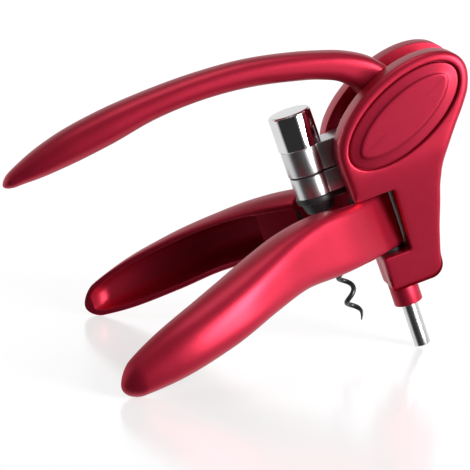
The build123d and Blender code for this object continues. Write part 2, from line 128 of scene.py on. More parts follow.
def arc(centre: tuple[float, float], radius: float, start: float, end: float, count: int) -> Array:
    """Points on a circle's arc.

    Args:
        centre: The circle's middle.
        radius: Its radius.
        start: Angle of the first point, in radians.
        end: Angle of the last point.
        count: How many points.

    Returns:
        The points.
    """
    angle = np.linspace(start, end, count)
    return np.asarray(centre) + radius * np.stack([np.cos(angle), np.sin(angle)], axis=1)


def rounded(corners: Sequence[tuple[float, float, float]]) -> Array:
    """An open path of straight runs whose inner corners are arcs.

    An arc of radius r leaves each run at r times the tangent of half the turn from the corner.

    Args:
        corners: (x, y, radius) of each corner; the radius of the first and last isn't used.

    Returns:
        The path's points.
    """
    parts = [np.array([corners[0][:2]], float)]
    for before, corner, after in zip(corners, corners[1:], corners[2:]):
        here, radius = np.array(corner[:2], float), corner[2]
        back = np.array(before[:2], float) - here
        ahead = np.array(after[:2], float) - here
        back, ahead = back / np.linalg.norm(back), ahead / np.linalg.norm(ahead)
        half = np.arccos(np.clip(back @ ahead, -1, 1)) / 2
        middle = back + ahead
        centre = here + middle / np.linalg.norm(middle) * radius / sin(half)
        first, last = here + back * radius / tan(half), here + ahead * radius / tan(half)
        start, end = (atan2(*(p - centre)[::-1]) for p in (first, last))
        turn = (end - start + pi) % (2 * pi) - pi
        parts.append(arc(tuple(centre), radius, start, start + turn, 9))
    parts.append(np.array([corners[-1][:2]], float))
    return np.concatenate(parts)


def even(path: Array, step: float) -> Array:
    """The path again, with its points evenly spaced.

    Args:
        path: The path's points.
        step: About how far apart the new points stand.

    Returns:
        The new points, the path's ends included.
    """
    along = np.concatenate([[0], np.cumsum(np.linalg.norm(np.diff(path, axis=0), axis=1))])
    at = np.linspace(0, along[-1], int(along[-1] / step) + 2)
    return np.stack([np.interp(at, along, path[:, axis]) for axis in range(path.shape[1])], axis=1)


def inset(loop: Array, distance: float | Array) -> Array:
    """A closed loop, counter-clockwise, moved inwards along its normals.

    The normal at a point is the line between its two neighbours, turned a quarter to the left.

    Args:
        loop: The loop's points.
        distance: How far to move, once for all points or for each.

    Returns:
        The moved points.
    """
    run = np.roll(loop, -1, axis=0) - np.roll(loop, 1, axis=0)
    normal = np.stack([-run[:, 1], run[:, 0]], axis=1) / np.linalg.norm(run, axis=1)[:, None]
    return loop + normal * np.broadcast_to(distance, len(loop))[:, None]


def ellipse(centre: tuple[float, float], a: float, b: float, turn: float, count: int) -> Array:
    """A closed ellipse, counter-clockwise.

    Args:
        centre: Its middle.
        a: Its first half axis.
        b: Its second half axis.
        turn: The angle of the first axis from x, in radians.
        count: How many points it has.

    Returns:
        The points.
    """
    angle = np.linspace(0, 2 * pi, count, endpoint=False)
    x, y = a * np.cos(angle), b * np.sin(angle)
    across, up = x * cos(turn) - y * sin(turn), x * sin(turn) + y * cos(turn)
    return np.asarray(centre) + np.stack([across, up], axis=1)


def round_end(distance: Array, radius: float) -> Array:
    """From 0 at an end to 1 at radius from it, along a quarter circle."""
    return np.sqrt(np.clip(1 - (1 - np.clip(distance / radius, 0, 1)) ** 2, 0, 1))


def superellipse(angle: Array, power: Array) -> tuple[Array, Array]:
    """Points of |across|^power + |up|^power = 1.

    Args:
        angle: The angle of each point from the middle.
        power: 2 for a circle, more for a squarer shape.

    Returns:
        Across and up, each in the shape of angle and power together.
    """
    c, s = np.cos(angle), np.sin(angle)
    size = (np.abs(c) ** power + np.abs(s) ** power) ** (-1 / power)
    return c * size, s * size


def inside(points: Array, loop: Array) -> Array:
    """Which points lie inside a closed loop: those whose ray crosses it an odd number of times.

    Args:
        points: Flat points.
        loop: The loop's points.

    Returns:
        True for each point inside.
    """
    x, y = points[:, 0, None], points[:, 1, None]
    a, b = loop, np.roll(loop, -1, axis=0)
    spans = (a[:, 1] > y) != (b[:, 1] > y)
    rise = np.where(b[:, 1] == a[:, 1], 1.0, b[:, 1] - a[:, 1])
    crossing = a[:, 0] + (y - a[:, 1]) / rise * (b[:, 0] - a[:, 0])
    return (spans & (x < crossing)).sum(axis=1) % 2 == 1


def turned(points: Array, angle: float) -> Array:
    """Points turned about the rod's axis, from x towards y."""
    x, y, w = np.moveaxis(points, -1, 0)
    return np.stack([x * cos(angle) - y * sin(angle), x * sin(angle) + y * cos(angle), w], axis=-1)


# ---------------------------------------------------------------------------------- frame
class Side(Enum):
    """The two sides of the tool, as the sign of y."""

    LEFT = -1
    RIGHT = 1

    @property
    def word(self) -> str:
        """The side's name, as node names have it."""
        return self.name.lower()


@dataclass(frozen=True)
class ToolFrame:
    """Where the tool's own axes stand in the row frame.

    Attributes:
        foot: The rod's lower end, in metres.
        back: Unit vector to the back.
        up: Unit vector up along the rod.
    """

    foot: Array
    back: Array
    up: Array

    @classmethod
    def from_joints(cls, joints: list[dict]) -> "ToolFrame":
        """Reads the frame from the record's joints.

        Args:
            joints: The record's joints; the carriage slides along the rod, and the grip turns about it.

        Returns:
            The tool's frame.
        """
        named = {joint["name"]: joint for joint in joints}
        up = np.array(named["carriage_slide"]["axis"], float)
        hinge = np.array(named["left_grip_swing"]["pos_m"], float)
        return cls(hinge - up * HINGE_W * MM, np.array([up[2], 0.0, -up[0]]), up)

    def to_row(self, points: Array) -> Array:
        """Points (x, y, w) in millimetres as points in the row frame, in metres."""
        x, y, w = np.moveaxis(np.asarray(points, float) * MM, -1, 0)
        side = np.array([0.0, 1.0, 0.0])
        return self.foot + x[..., None] * self.back + y[..., None] * side + w[..., None] * self.up


# ---------------------------------------------------------------------------------- meshes
class Draft:
    """The points and faces of one piece, in the tool's frame, before they become a mesh."""

    def __init__(self) -> None:
        """Starts with nothing."""
        self.points: list[Array] = []
        self.faces: list[list[int]] = []
        self.count = 0

    def add(self, points: Array) -> Array:
        """Adds points (..., 3) and returns their indices in the same arrangement."""
        flat = np.asarray(points, float).reshape(-1, 3)
        self.points.append(flat)
        self.count += len(flat)
        return np.arange(self.count - len(flat), self.count).reshape(np.asarray(points).shape[:-1])

    def sheet(self, index: Array, around: bool = True) -> None:
        """Joins a grid of indices with four-sided faces.

        Args:
            index: Rows of indices.
            around: Whether each row closes on itself.
        """
        after = np.roll(index, -1, axis=1)
        near, far = (index, after) if around else (index[:, :-1], index[:, 1:])
        quads = np.stack([near[:-1], far[:-1], far[1:], near[1:]], axis=-1)
        self.faces.extend(quads.reshape(-1, 4).tolist())

    def fan(self, ring: Array, tip: Array) -> None:
        """Closes a ring of indices with triangles to one new point."""
        centre = int(self.add(np.asarray(tip)[None])[0])
        ring = np.asarray(ring)
        self.faces.extend(np.stack([ring, np.roll(ring, -1), np.full_like(ring, centre)], axis=-1).tolist())

    def shell(self, rows: Array) -> None:
        """Adds closed rings as one closed shell, each end closed to the middle of its ring."""
        index = self.add(rows)
        self.sheet(index)
        self.fan(index[0], rows[0].mean(axis=0))
        self.fan(index[-1], rows[-1].mean(axis=0))

    def loop(self, rows: Array) -> None:
        """Adds closed rings whose last ring joins the first, as a ring-shaped shell."""
        index = self.add(rows)
        self.sheet(np.concatenate([index, index[:1]]))

    def fill(self, loops: Sequence[Array], lift: Callable[[Array], Array], spacing: float) -> None:
        """Covers the region inside the first loop and outside the others with triangles.

        The triangulation is a constrained Delaunay one, over the loops and an even grid of points
        between them, so that a face that bends a little stays smooth.

        Args:
            loops: Flat closed loops.
            lift: Places flat points in the tool's frame.
            spacing: Distance between the points of the grid.
        """
        edges = np.concatenate(loops)
        low, high = edges.min(axis=0), edges.max(axis=0)
        axes = [np.arange(low[k] + spacing / 2, high[k], spacing) for k in (0, 1)]
        grid = np.stack(np.meshgrid(*axes), axis=-1).reshape(-1, 2)
        apart = np.sum((edges[None] - grid[:, None]) ** 2, axis=2)
        clear = apart.min(axis=1) > (0.6 * spacing) ** 2
        keep = clear & inside(grid, loops[0])
        for hole in loops[1:]:
            keep &= ~inside(grid, hole)
        flat = np.concatenate([edges, grid[keep]])
        bounds, start = [], 0
        for loop in loops:
            ring = np.arange(start, start + len(loop))
            bounds += np.stack([ring, np.roll(ring, -1)], axis=-1).tolist()
            start += len(loop)
        made = delaunay_2d_cdt([Vector(p) for p in flat.tolist()], bounds, [], 0, 1e-5)
        points, faces = np.array([tuple(v) for v in made[0]]), np.array(made[2])
        middles = points[faces].mean(axis=1)
        real = inside(middles, loops[0])
        for hole in loops[1:]:
            real &= ~inside(middles, hole)
        index = self.add(lift(points))
        self.faces.extend(index[faces[real]].tolist())

    def to_object(self, name: str, frame: ToolFrame, material: bpy.types.Material) -> bpy.types.Object:
        """Makes the Blender object, with its faces outwards, its place in its mesh and smooth shading.

        Args:
            name: The object's name.
            frame: The tool's place in the row frame.
            material: The finish.

        Returns:
            The new object.
        """
        mesh = bpy.data.meshes.new(name)
        mesh.from_pydata(frame.to_row(np.concatenate(self.points)).tolist(), [], self.faces)
        work = bmesh.new()
        work.from_mesh(mesh)
        bmesh.ops.remove_doubles(work, verts=work.verts, dist=WELD)
        bmesh.ops.dissolve_degenerate(work, edges=work.edges, dist=WELD)
        bmesh.ops.recalc_face_normals(work, faces=work.faces)
        work.to_mesh(mesh)
        work.free()
        mesh.polygons.foreach_set("use_smooth", np.ones(len(mesh.polygons), bool))
        mesh.set_sharp_from_angle(angle=SHARP)
        mesh.materials.append(material)
        made = bpy.data.objects.new(name, mesh)
        bpy.context.scene.collection.objects.link(made)
        return made


def lathe(profile: Pairs, x: float, segments: int) -> Array:
    """Rings round an upright axis: each pair of the profile becomes a circle.

    Args:
        profile: Pairs of radius and w.
        x: Where the axis stands.
        segments: Points in each ring.

    Returns:
        The rings' points.
    """
    radius, w = np.asarray(profile, float).T
    angle = np.linspace(0, 2 * pi, segments, endpoint=False)
    return np.stack([x + radius[:, None] * np.cos(angle), radius[:, None] * np.sin(angle),
                     np.broadcast_to(w[:, None], (len(w), segments))], axis=-1)


def rounded_profile(corners: Sequence[tuple[float, float, float]]) -> list[tuple[float, float]]:
    """A lathe profile of (radius, w, rounding) corners, as plain pairs."""
    return [tuple(p) for p in rounded(corners).tolist()]


def bar_profile(radius: float, low: float, high: float, edge: float) -> list[tuple[float, float]]:
    """The profile of a solid bar from low to high, with rounded edges and closed ends."""
    return rounded_profile([(0, low, 0), (radius, low, edge), (radius, high, edge), (0, high, 0)])


def tube_profile(outer: float, bore: float, low: float, high: float,
                 edge: float) -> list[tuple[float, float]]:
    """The closed profile of a tube from low to high, with rounded outer edges."""
    return rounded_profile([(bore, low, 0), (outer, low, edge), (outer, high, edge), (bore, high, 0)])


def slab(draft: Draft, plan: Array, low: float, high: float, edge: float,
         bores: Sequence[Array] = ()) -> None:
    """Adds a slab of the plan's outline from height low to high, with rounded rims.

    Rings run from the lower face round the lower rim, up the wall and round the upper rim. On a rim,
    at angle a, the outline is edge * (1 - cos a) inside the wall and edge * (1 - sin a) short of the face.

    Args:
        draft: The draft to add to.
        plan: Closed outline in x and y, counter-clockwise.
        low: Height of the lower face.
        high: Height of the upper face.
        edge: Radius of the rims.
        bores: Closed outlines of holes that go right through, counter-clockwise.
    """
    angle = np.linspace(pi / 2, 0, 5)
    steps = [(edge * (1 - cos(a)), low + edge * (1 - sin(a))) for a in angle]
    steps += [(edge * (1 - cos(a)), high - edge * (1 - sin(a))) for a in angle[::-1]]
    rows = [np.column_stack([inset(plan, d), np.full(len(plan), w)]) for d, w in steps]
    draft.sheet(draft.add(np.stack(rows)))
    for bore in bores:
        wall = [np.column_stack([bore, np.full(len(bore), w)]) for w in (low, high)]
        draft.sheet(draft.add(np.stack(wall)))
    for w in (low, high):
        draft.fill([inset(plan, edge), *bores],
                   lambda flat, w=w: np.column_stack([flat, np.full(len(flat), w)]), 3.0)


# ---------------------------------------------------------------------------------- shader maths
Number = float | int


class Value:
    """A shader socket that Python's operators can combine with other sockets and numbers."""

    def __init__(self, graph: "Graph", socket: bpy.types.NodeSocket) -> None:
        """Wraps one output socket of a graph's node."""
        self.graph = graph
        self.socket = socket

    def _math(self, operation: str, *inputs: "Value | Number") -> "Value":
        """A Math node on these inputs."""
        node = self.graph.node("ShaderNodeMath", {"operation": operation}, dict(enumerate(inputs)))
        return Value(self.graph, node.outputs[0])

    def __add__(self, other: "Value | Number") -> "Value":
        """self + other."""
        return self._math("ADD", self, other)

    __radd__ = __add__

    def __sub__(self, other: "Value | Number") -> "Value":
        """self - other."""
        return self._math("SUBTRACT", self, other)

    def __rsub__(self, other: Number) -> "Value":
        """other - self."""
        return self._math("SUBTRACT", other, self)

    def __mul__(self, other: "Value | Number") -> "Value":
        """self * other."""
        return self._math("MULTIPLY", self, other)

    __rmul__ = __mul__

    def held(self) -> "Value":
        """self kept between 0 and 1."""
        return self._math("MAXIMUM", self._math("MINIMUM", self, 1.0), 0.0)


class Graph:
    """The nodes of one material or of the world."""

    def __init__(self, tree: bpy.types.NodeTree) -> None:
        """Starts from an emptied node tree."""
        self.tree = tree
        self.tree.nodes.clear()

    def node(self, kind: str, settings: dict | None = None, inputs: dict | None = None) -> bpy.types.Node:
        """Makes a node.

        Args:
            kind: The node's type.
            settings: Its own settings, set before its sockets.
            inputs: Values or plain settings, by the input's name or number.

        Returns:
            The node.
        """
        made = self.tree.nodes.new(kind)
        for key, setting in (settings or {}).items():
            setattr(made, key, setting)
        for key, value in (inputs or {}).items():
            if isinstance(value, Value):
                self.tree.links.new(value.socket, made.inputs[key])
            else:
                made.inputs[key].default_value = value
        return made


class Surface(Graph):
    """One material's nodes, with a Principled shader at the end."""

    def __init__(self, name: str) -> None:
        """Makes a node material of that name."""
        self.material = bpy.data.materials.new(name)
        self.material.use_nodes = True
        super().__init__(self.material.node_tree)
        self.shader = self.node("ShaderNodeBsdfPrincipled")
        output = self.node("ShaderNodeOutputMaterial")
        self.tree.links.new(self.shader.outputs[0], output.inputs["Surface"])
        self.object_place = Value(self, self.node("ShaderNodeTexCoord").outputs["Object"])

    def stretched(self, scale: tuple[float, float, float], turn: float = 0.0) -> Value:
        """Object coordinates turned about y by turn and then stretched, for a pattern along the tool."""
        turned_place = self.node("ShaderNodeMapping", {"vector_type": "POINT"},
                                 {"Vector": self.object_place, "Rotation": (0.0, turn, 0.0)})
        sized = self.node("ShaderNodeMapping", {"vector_type": "POINT"},
                          {"Vector": Value(self, turned_place.outputs[0]), "Scale": scale})
        return Value(self, sized.outputs[0])

    def noise(self, scale: float, detail: float = 2.0, place: Value | None = None) -> Value:
        """Noise from 0 to 1, with scale in cells per metre."""
        made = self.node("ShaderNodeTexNoise", None,
                         {"Vector": place or self.object_place, "Scale": scale, "Detail": detail})
        return Value(self, made.outputs["Fac"])

    def cells(self, scale: float) -> Value:
        """A random number for each small cell, with scale in cells per metre."""
        made = self.node("ShaderNodeTexVoronoi", None, {"Vector": self.object_place, "Scale": scale})
        apart = self.node("ShaderNodeSeparateColor", None, {0: Value(self, made.outputs["Color"])})
        return Value(self, apart.outputs[0])

    def blend(self, share: "Value | Number", first: Sequence[float], second: Sequence[float]) -> Value:
        """A colour between two others."""
        made = self.node("ShaderNodeMix", {"data_type": "RGBA"},
                         {0: share, 6: (*first, 1.0), 7: (*second, 1.0)})
        return Value(self, made.outputs[2])

    def bump(self, height: Value, depth: float) -> Value:
        """A normal from a height of 0 to 1 that stands for depth metres."""
        made = self.node("ShaderNodeBump", None, {"Height": height, "Strength": 1.0, "Distance": depth})
        return Value(self, made.outputs[0])

    def finish(self, **sockets: "Value | Number | tuple") -> bpy.types.Material:
        """Sets the shader's sockets, named with _ for a space, and returns the material."""
        for key, value in sockets.items():
            socket = self.shader.inputs[key.replace("_", " ")]
            if isinstance(value, Value):
                self.tree.links.new(value.socket, socket)
            else:
                socket.default_value = value
        return self.material


# ---------------------------------------------------------------------------------- finishes
@dataclass(frozen=True)
class Lacquer:
    """Satin metallic lacquer: fine flakes under a soft clear coat, with a faint orange peel.

    Attributes:
        name: The material's name.
        deep: Colour in the darker flakes.
        bright: Colour in the brighter flakes.
        metal: How metallic the flakes are.
        rough: Roughness under the coat.
        slot: The record's material slot; not used.
    """

    name: str
    deep: tuple[float, float, float]
    bright: tuple[float, float, float]
    metal: float
    rough: float
    slot: str

    def material(self) -> bpy.types.Material:
        """Builds the material."""
        graph = Surface(self.name)
        flake = graph.cells(5200.0)
        cloud = graph.noise(38.0, 3.0)
        haze = graph.noise(420.0, 4.0)
        share = (0.15 + 0.35 * flake + 0.45 * cloud).held()
        peel = graph.noise(900.0, 2.0) * 0.8 + flake * 0.2
        return graph.finish(
            Base_Color=graph.blend(share, self.deep, self.bright),
            Metallic=self.metal,
            Roughness=(self.rough - 0.04 + 0.05 * haze + 0.04 * flake),
            Coat_Weight=0.10 + 0.05 * haze,
            Coat_Roughness=0.28,
            Normal=graph.bump(peel, 0.000012),
        )


@dataclass(frozen=True)
class Metal:
    """Bare or plated metal with fine drawn lines and faint smears.

    Attributes:
        name: The material's name.
        colour: Its colour.
        rough: Its roughness.
        lines: Depth of the drawn lines, in metres.
        grain: Lines per metre across the drawing direction.
        slot: The record's material slot; not used.
    """

    name: str
    colour: tuple[float, float, float]
    rough: float
    lines: float
    grain: float
    slot: str

    def material(self) -> bpy.types.Material:
        """Builds the material."""
        graph = Surface(self.name)
        drawn = graph.noise(1.0, 3.0, graph.stretched((self.grain * 0.05, self.grain * 0.05, self.grain),
                                                      radians(19.8)))
        smear = graph.noise(140.0, 4.0)
        worn = tuple(0.86 * part for part in self.colour)
        return graph.finish(
            Base_Color=graph.blend((0.5 * drawn + 0.5 * smear).held(), worn, self.colour),
            Metallic=1.0,
            Roughness=(self.rough + 0.06 * self.rough * drawn + 0.05 * smear - 0.025).held(),
            Normal=graph.bump(drawn, self.lines),
        )


@dataclass(frozen=True)
class Moulding:
    """Dark nylon or rubber with a fine moulded grain.

    Attributes:
        name: The material's name.
        colour: Its colour.
        rough: Its roughness.
        depth: Depth of the grain, in metres.
        grain: Grains per metre.
        slot: The record's material slot; not used.
    """

    name: str
    colour: tuple[float, float, float]
    rough: float
    depth: float
    grain: float
    slot: str

    def material(self) -> bpy.types.Material:
        """Builds the material."""
        graph = Surface(self.name)
        grain = graph.noise(self.grain, 3.0)
        dust = graph.noise(180.0, 4.0)
        pale = tuple(min(1.0, 1.5 * part + 0.01) for part in self.colour)
        return graph.finish(
            Base_Color=graph.blend((0.75 * dust + 0.25 * grain).held(), self.colour, pale),
            Roughness=(self.rough - 0.08 + 0.16 * dust).held(),
            Normal=graph.bump(grain, self.depth),
        )


Finish = Lacquer | Metal | Moulding

RED = Lacquer("red_lacquer", (0.42, 0.008, 0.030), (0.62, 0.020, 0.062), 0.72, 0.42, "red_lacquer")
BADGE_RED = Lacquer("badge_lacquer", (0.30, 0.004, 0.022), (0.46, 0.010, 0.044), 0.70, 0.42, "badge_red")
MIRROR = Metal("polished_chrome", (0.90, 0.90, 0.91), 0.05, 0.0, 3000.0, "polished_chrome")
SATIN = Metal("satin_chrome", (0.80, 0.81, 0.82), 0.30, 0.000004, 9000.0, "satin_chrome")
BRIGHT = Metal("bright_steel", (0.82, 0.82, 0.83), 0.26, 0.000002, 7000.0, "bright_steel")
SINTERED = Metal("gear_steel", (0.42, 0.42, 0.43), 0.42, 0.000008, 4000.0, "gear_steel")
BRONZE = Metal("bearing_bronze", (0.62, 0.43, 0.22), 0.38, 0.000005, 5000.0, "bronze")
DARK_STEEL = Metal("dark_screw_steel", (0.14, 0.14, 0.15), 0.35, 0.000003, 5000.0, "dark_screw")
WORM_COAT = Moulding("worm_coating", (0.018, 0.018, 0.019), 0.30, 0.000004, 5000.0, "black_steel")
RUBBER = Moulding("jaw_rubber", (0.030, 0.031, 0.033), 0.62, 0.00002, 2600.0, "black_rubber")
NYLON = Moulding("black_nylon", (0.014, 0.014, 0.015), 0.42, 0.00001, 3500.0, "black_nylon")


class Workshop:
    """Makes each finish once, and turns drafts into pieces that ride on their bodies."""

    def __init__(self, frame: ToolFrame) -> None:
        """Starts with no finishes made."""
        self.frame = frame
        self.made: dict[str, bpy.types.Material] = {}

    def material(self, finish: Finish) -> bpy.types.Material:
        """The finish's material, made on first use."""
        if finish.name not in self.made:
            self.made[finish.name] = finish.material()
        return self.made[finish.name]

    def piece(self, name: str, draft: Draft, finish: Finish, body: str, *nodes: str) -> bpy.types.Object:
        """Makes a piece from a draft.

        Args:
            name: The piece's name.
            draft: Its points and faces.
            finish: Its finish.
            body: The body it rides on.
            nodes: The nodes it stands for.

        Returns:
            The piece.
        """
        made = draft.to_object(name, self.frame, self.material(finish))
        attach(made, body)
        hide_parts(*nodes)
        LOG.info("%s: %d faces", name, len(made.data.polygons))
        return made


# ---------------------------------------------------------------------------------- lever
@dataclass
class Lever:
    """The long curved lever: a leaf-shaped arm that runs down into a forked hub.

    The arm's section is a superellipse carried along a spine in the middle plane, square to it. Its
    half thickness and half width follow the distance along the spine, and both close along a
    quarter circle at the tip.
    """

    spine: Pairs = ((-163.6, 144.0), (-157, 146.0), (-148, 147.9), (-134, 150.5), (-110, 153.9),
                    (-88, 156.5), (-62, 157.0), (-38, 154.8), (-20, 151.0), (-6, 147.0), (5, 142.4),
                    (13.5, 135.6), (19.0, 126.5))
    thickness: Pairs = ((0, 2.6), (8, 4.3), (17, 6.1), (31, 7.7), (55, 8.2), (77, 7.0), (103, 6.5),
                        (127, 6.6), (146, 6.6), (160, 6.6), (172, 7.2), (183, 8.7), (194, 10.5))
    width: Pairs = ((0, 4.5), (8, 6.3), (17, 8.6), (31, 10.6), (50, 11.4), (80, 11.0), (120, 10.1),
                    (150, 9.8), (194, 9.75))
    tip_length: float = 5.5
    root_length: float = 5.0
    hub_r: float = 16.4
    ear_low: float = 4.15
    ear_high: float = 9.8
    rim: float = 1.0

    def arm(self, draft: Draft) -> None:
        """Adds the arm: the section at each step of the spine, closed at both ends."""
        rough = curve(self.spine, 1.0)
        length = np.linalg.norm(np.diff(rough, axis=0), axis=1).sum()
        near = self.tip_length * (1 - np.cos(np.linspace(0, pi / 2, 14)))
        far = length - self.root_length * (1 - np.cos(np.linspace(pi / 2, 0, 8)))
        at = np.concatenate([near[1:], np.linspace(near[-1], far[0], 120)[1:-1], far[:-1]])
        along = np.concatenate([[0], np.cumsum(np.linalg.norm(np.diff(rough, axis=0), axis=1))])
        centre = np.stack([np.interp(at, along, rough[:, axis]) for axis in (0, 1)], axis=1)
        run = np.gradient(centre, at, axis=0)
        normal = np.stack([-run[:, 1], run[:, 0]], axis=1) / np.linalg.norm(run, axis=1)[:, None]
        close = round_end(at, self.tip_length) * round_end(length - at, self.root_length)
        high, wide = through(self.thickness, at) * close, through(self.width, at) * close
        power = np.interp(at, [0, 60, 130, 170, length], [2.1, 2.25, 2.4, 3.2, 4.5])[:, None]
        across, up = superellipse(np.linspace(0, 2 * pi, 72, endpoint=False), power)
        rise = high[:, None] * up
        rows = np.stack([centre[:, :1] + normal[:, :1] * rise, wide[:, None] * across,
                         centre[:, 1:] + normal[:, 1:] * rise], axis=-1)
        draft.shell(rows)

    def ear(self, draft: Draft, side: Side) -> None:
        """Adds one ear of the fork: a disc round the pivot with rounded rims."""
        step = self.rim * (1 - np.cos(np.linspace(0, pi / 2, 6)))
        fall = self.rim * (1 - np.sin(np.linspace(0, pi / 2, 6)))
        radius = np.concatenate([self.hub_r - step[::-1], self.hub_r - step])
        y = np.concatenate([self.ear_low + fall[::-1], self.ear_high - fall])
        angle = np.linspace(0, 2 * pi, 96, endpoint=False)
        rows = np.stack([PIVOT[0] + radius[:, None] * np.cos(angle),
                         np.broadcast_to(side.value * y[:, None], (len(y), len(angle))),
                         PIVOT[1] + radius[:, None] * np.sin(angle)], axis=-1)
        draft.shell(rows)

    def build(self, shop: Workshop) -> None:
        """Builds the lever."""
        draft = Draft()
        self.arm(draft)
        for side in Side:
            self.ear(draft, side)
        shop.piece("lever_arm_lacquered", draft, RED, "lever_arm", "lever")


# ---------------------------------------------------------------------------------- grips
@dataclass
class Grip:
    """A grip, drawn closed with its length along rho, which is minus x.

    The outside is half a superellipse, from the joint face at the top round the outer side to the
    joint face at the bottom. The whole bows outwards by bow, and its upper lip sinks by lip_drop at the
    joint face. The inside is a shallow web at the root and a deep channel beyond it. The bottle neck's
    seat and the knuckles' room are cylinders: no point comes nearer to their axes than their radii.
    """

    middle: Pairs = ((-3, 66.5), (0, 66.6), (25, 69.2), (45, 71.3), (66, 72.6), (88, 70.4), (116, 65.4),
                     (146, 59.9), (158, 57.5), (166, 55.6))
    half_height: Pairs = ((-3, 13.9), (0, 13.9), (25, 14.6), (45, 15.3), (66, 14.0), (88, 13.6),
                          (116, 13.7), (146, 11.3), (158, 8.6), (166, 6.2))
    depth: Pairs = ((-3, 8.6), (0, 8.7), (14, 14.3), (28, 19.3), (50, 22.1), (80, 22.2), (115, 20.0),
                    (145, 14.6), (158, 10.0), (166, 6.5))
    lower_power: Pairs = ((-3, 13.0), (22, 9.0), (45, 6.0), (68, 4.6), (90, 3.8), (120, 2.9), (166, 2.2))
    lip_drop: Pairs = ((-3, 0.0), (14, 0.3), (30, 2.2), (45, 2.9), (62, 2.4), (85, 1.6), (110, 1.4),
                       (140, 0.8), (160, 0.0), (166, 0.0))
    power: Pairs = ((-3, 14.0), (8, 13.0), (22, 11.0), (45, 7.5), (68, 4.5), (90, 3.2), (120, 2.6),
                    (166, 2.2))
    bow: Pairs = ((-3, 0.0), (62, 0.0), (80, 2.9), (105, 5.6), (130, 4.8), (150, 2.2), (166, 0.0))
    root: float = -2.6
    tip: float = 165.4
    tip_length: float = 7.5
    root_edge: float = 1.3
    joint: float = 0.5
    web: float = 1.2
    wall: float = 3.0
    channel: tuple[float, float] = (61.5, 160.5)
    seat_r: float = 14.7
    knuckle_r: float = 6.8
    sleeve_r: float = 5.06
    knuckles: tuple[float, float, float] = (52.0, 66.2, 80.4)

    def places(self) -> Array:
        """Where the sections stand: closer together at the root's edge, the seat and the tip."""
        seat = WORM_X * -1 - self.seat_r * np.cos(np.linspace(0, pi, 34))
        parts = [
            self.root + self.root_edge * (1 - np.cos(np.linspace(0, pi / 2, 6))),
            np.linspace(self.root + self.root_edge + 0.6, seat[0] - 0.6, 18),
            seat,
            np.linspace(seat[-1] + 1, self.channel[0], 18),
            np.linspace(self.channel[0], self.channel[0] + 5, 12)[1:],
            np.linspace(self.channel[0] + 5, self.tip - 14, 64)[1:],
            self.tip - 14 * (1 - np.sin(np.linspace(0, pi / 2, 24)))[1:-1],
        ]
        return np.concatenate(parts)

    def section(self, rho: Array, side: Side) -> Array:
        """The closed section at each place, drawn on the left for both sides.

        Args:
            rho: Places along the grip.
            side: Whose knuckle the section makes room for.

        Returns:
            Points (x, y, w), a row for each place.
        """
        at = rho[:, None]
        close = round_end(self.tip - at, self.tip_length)
        edge = self.root_edge * (1 - round_end(at - self.root, self.root_edge))
        high = through(self.half_height, at) * close - edge
        deep = through(self.depth, at) * close - edge
        round_angle = np.linspace(pi / 2, -pi / 2, 84)
        power = np.where(round_angle > 0, through(self.power, at), through(self.lower_power, at))
        outer, rise = superellipse(round_angle, power)
        outer_y, outer_w = self.joint + deep * outer, high * rise

        begin = round_end(at - self.channel[0], 5.0)
        end = round_end(self.channel[1] - at, 6.0)
        room = np.clip(deep - self.wall, 0, None) * begin * end
        mouth = np.clip(high - self.wall, 0.2, None) * (0.8 + 0.2 * end)
        hollow, fall = superellipse(np.linspace(-pi / 2, pi / 2, 56), np.full_like(at, 2.8))
        recess = (self.web - self.joint) * round_end(at - self.root - 4.5, 1.0) * end
        flat = np.minimum(1.0, 12 * hollow)
        inner_y = self.joint + np.maximum(room * hollow, recess * flat)
        inner_w = mouth * fall

        share = np.linspace(0, 1, 6)[1:-1]
        lip = np.broadcast_to(self.joint, (len(rho), len(share)))
        low_lip = -high + (high - mouth) * share
        y = np.concatenate([outer_y, lip, inner_y, lip], axis=1)
        w = np.concatenate([outer_w, low_lip, inner_w, -low_lip[:, ::-1]], axis=1)
        for _ in range(3):
            y = (np.roll(y, 1, axis=1) + 2 * y + np.roll(y, -1, axis=1)) / 4
            w = (np.roll(w, 1, axis=1) + 2 * w + np.roll(w, -1, axis=1)) / 4
        bow = through(self.bow, at)
        drop = through(self.lip_drop, at) * np.clip(1 - (y - self.joint) / 10, 0, 1) ** 2
        w = w + through(self.middle, at) - np.where(w > 0, drop, 0.0) * np.clip(w / 6, 0, 1)

        seat = np.sqrt(np.clip(self.seat_r ** 2 - (at + WORM_X) ** 2, 0, None))
        own = (w < self.knuckles[1]) == (side is Side.LEFT)
        room_r = np.where(own, self.knuckle_r - 0.4, self.knuckle_r + 0.3)
        knuckle = np.sqrt(np.clip(room_r ** 2 - at ** 2, 0, None))
        y = np.maximum(np.maximum(y, seat), knuckle) + bow
        return np.stack([np.broadcast_to(-at, y.shape), -y, w], axis=-1)

    def opened(self, points: Array, side: Side) -> Array:
        """Points drawn closed on the left, on their own side and turned open."""
        out = turned(points, OPEN_ANGLE)
        return out * np.array([1.0, -side.value, 1.0])

    def build(self, shop: Workshop, side: Side) -> None:
        """Builds one grip with its knuckle."""
        draft = Draft()
        rows = self.section(self.places(), side)
        index = draft.add(self.opened(rows, side))
        draft.sheet(index)
        draft.fan(index[0], self.opened(rows[0].mean(axis=0), side))
        draft.fan(index[-1], self.opened(rows[-1].mean(axis=0), side))
        low, mid, high = self.knuckles
        span = (low, mid - 0.2) if side is Side.LEFT else (mid + 0.2, high)
        draft.loop(lathe(tube_profile(self.knuckle_r, self.sleeve_r, *span, 0.6), 0.0, 64))
        shop.piece(f"{side.word}_grip_lacquered", draft, RED, f"{side.word}_clamp", f"{side.word}_grip")


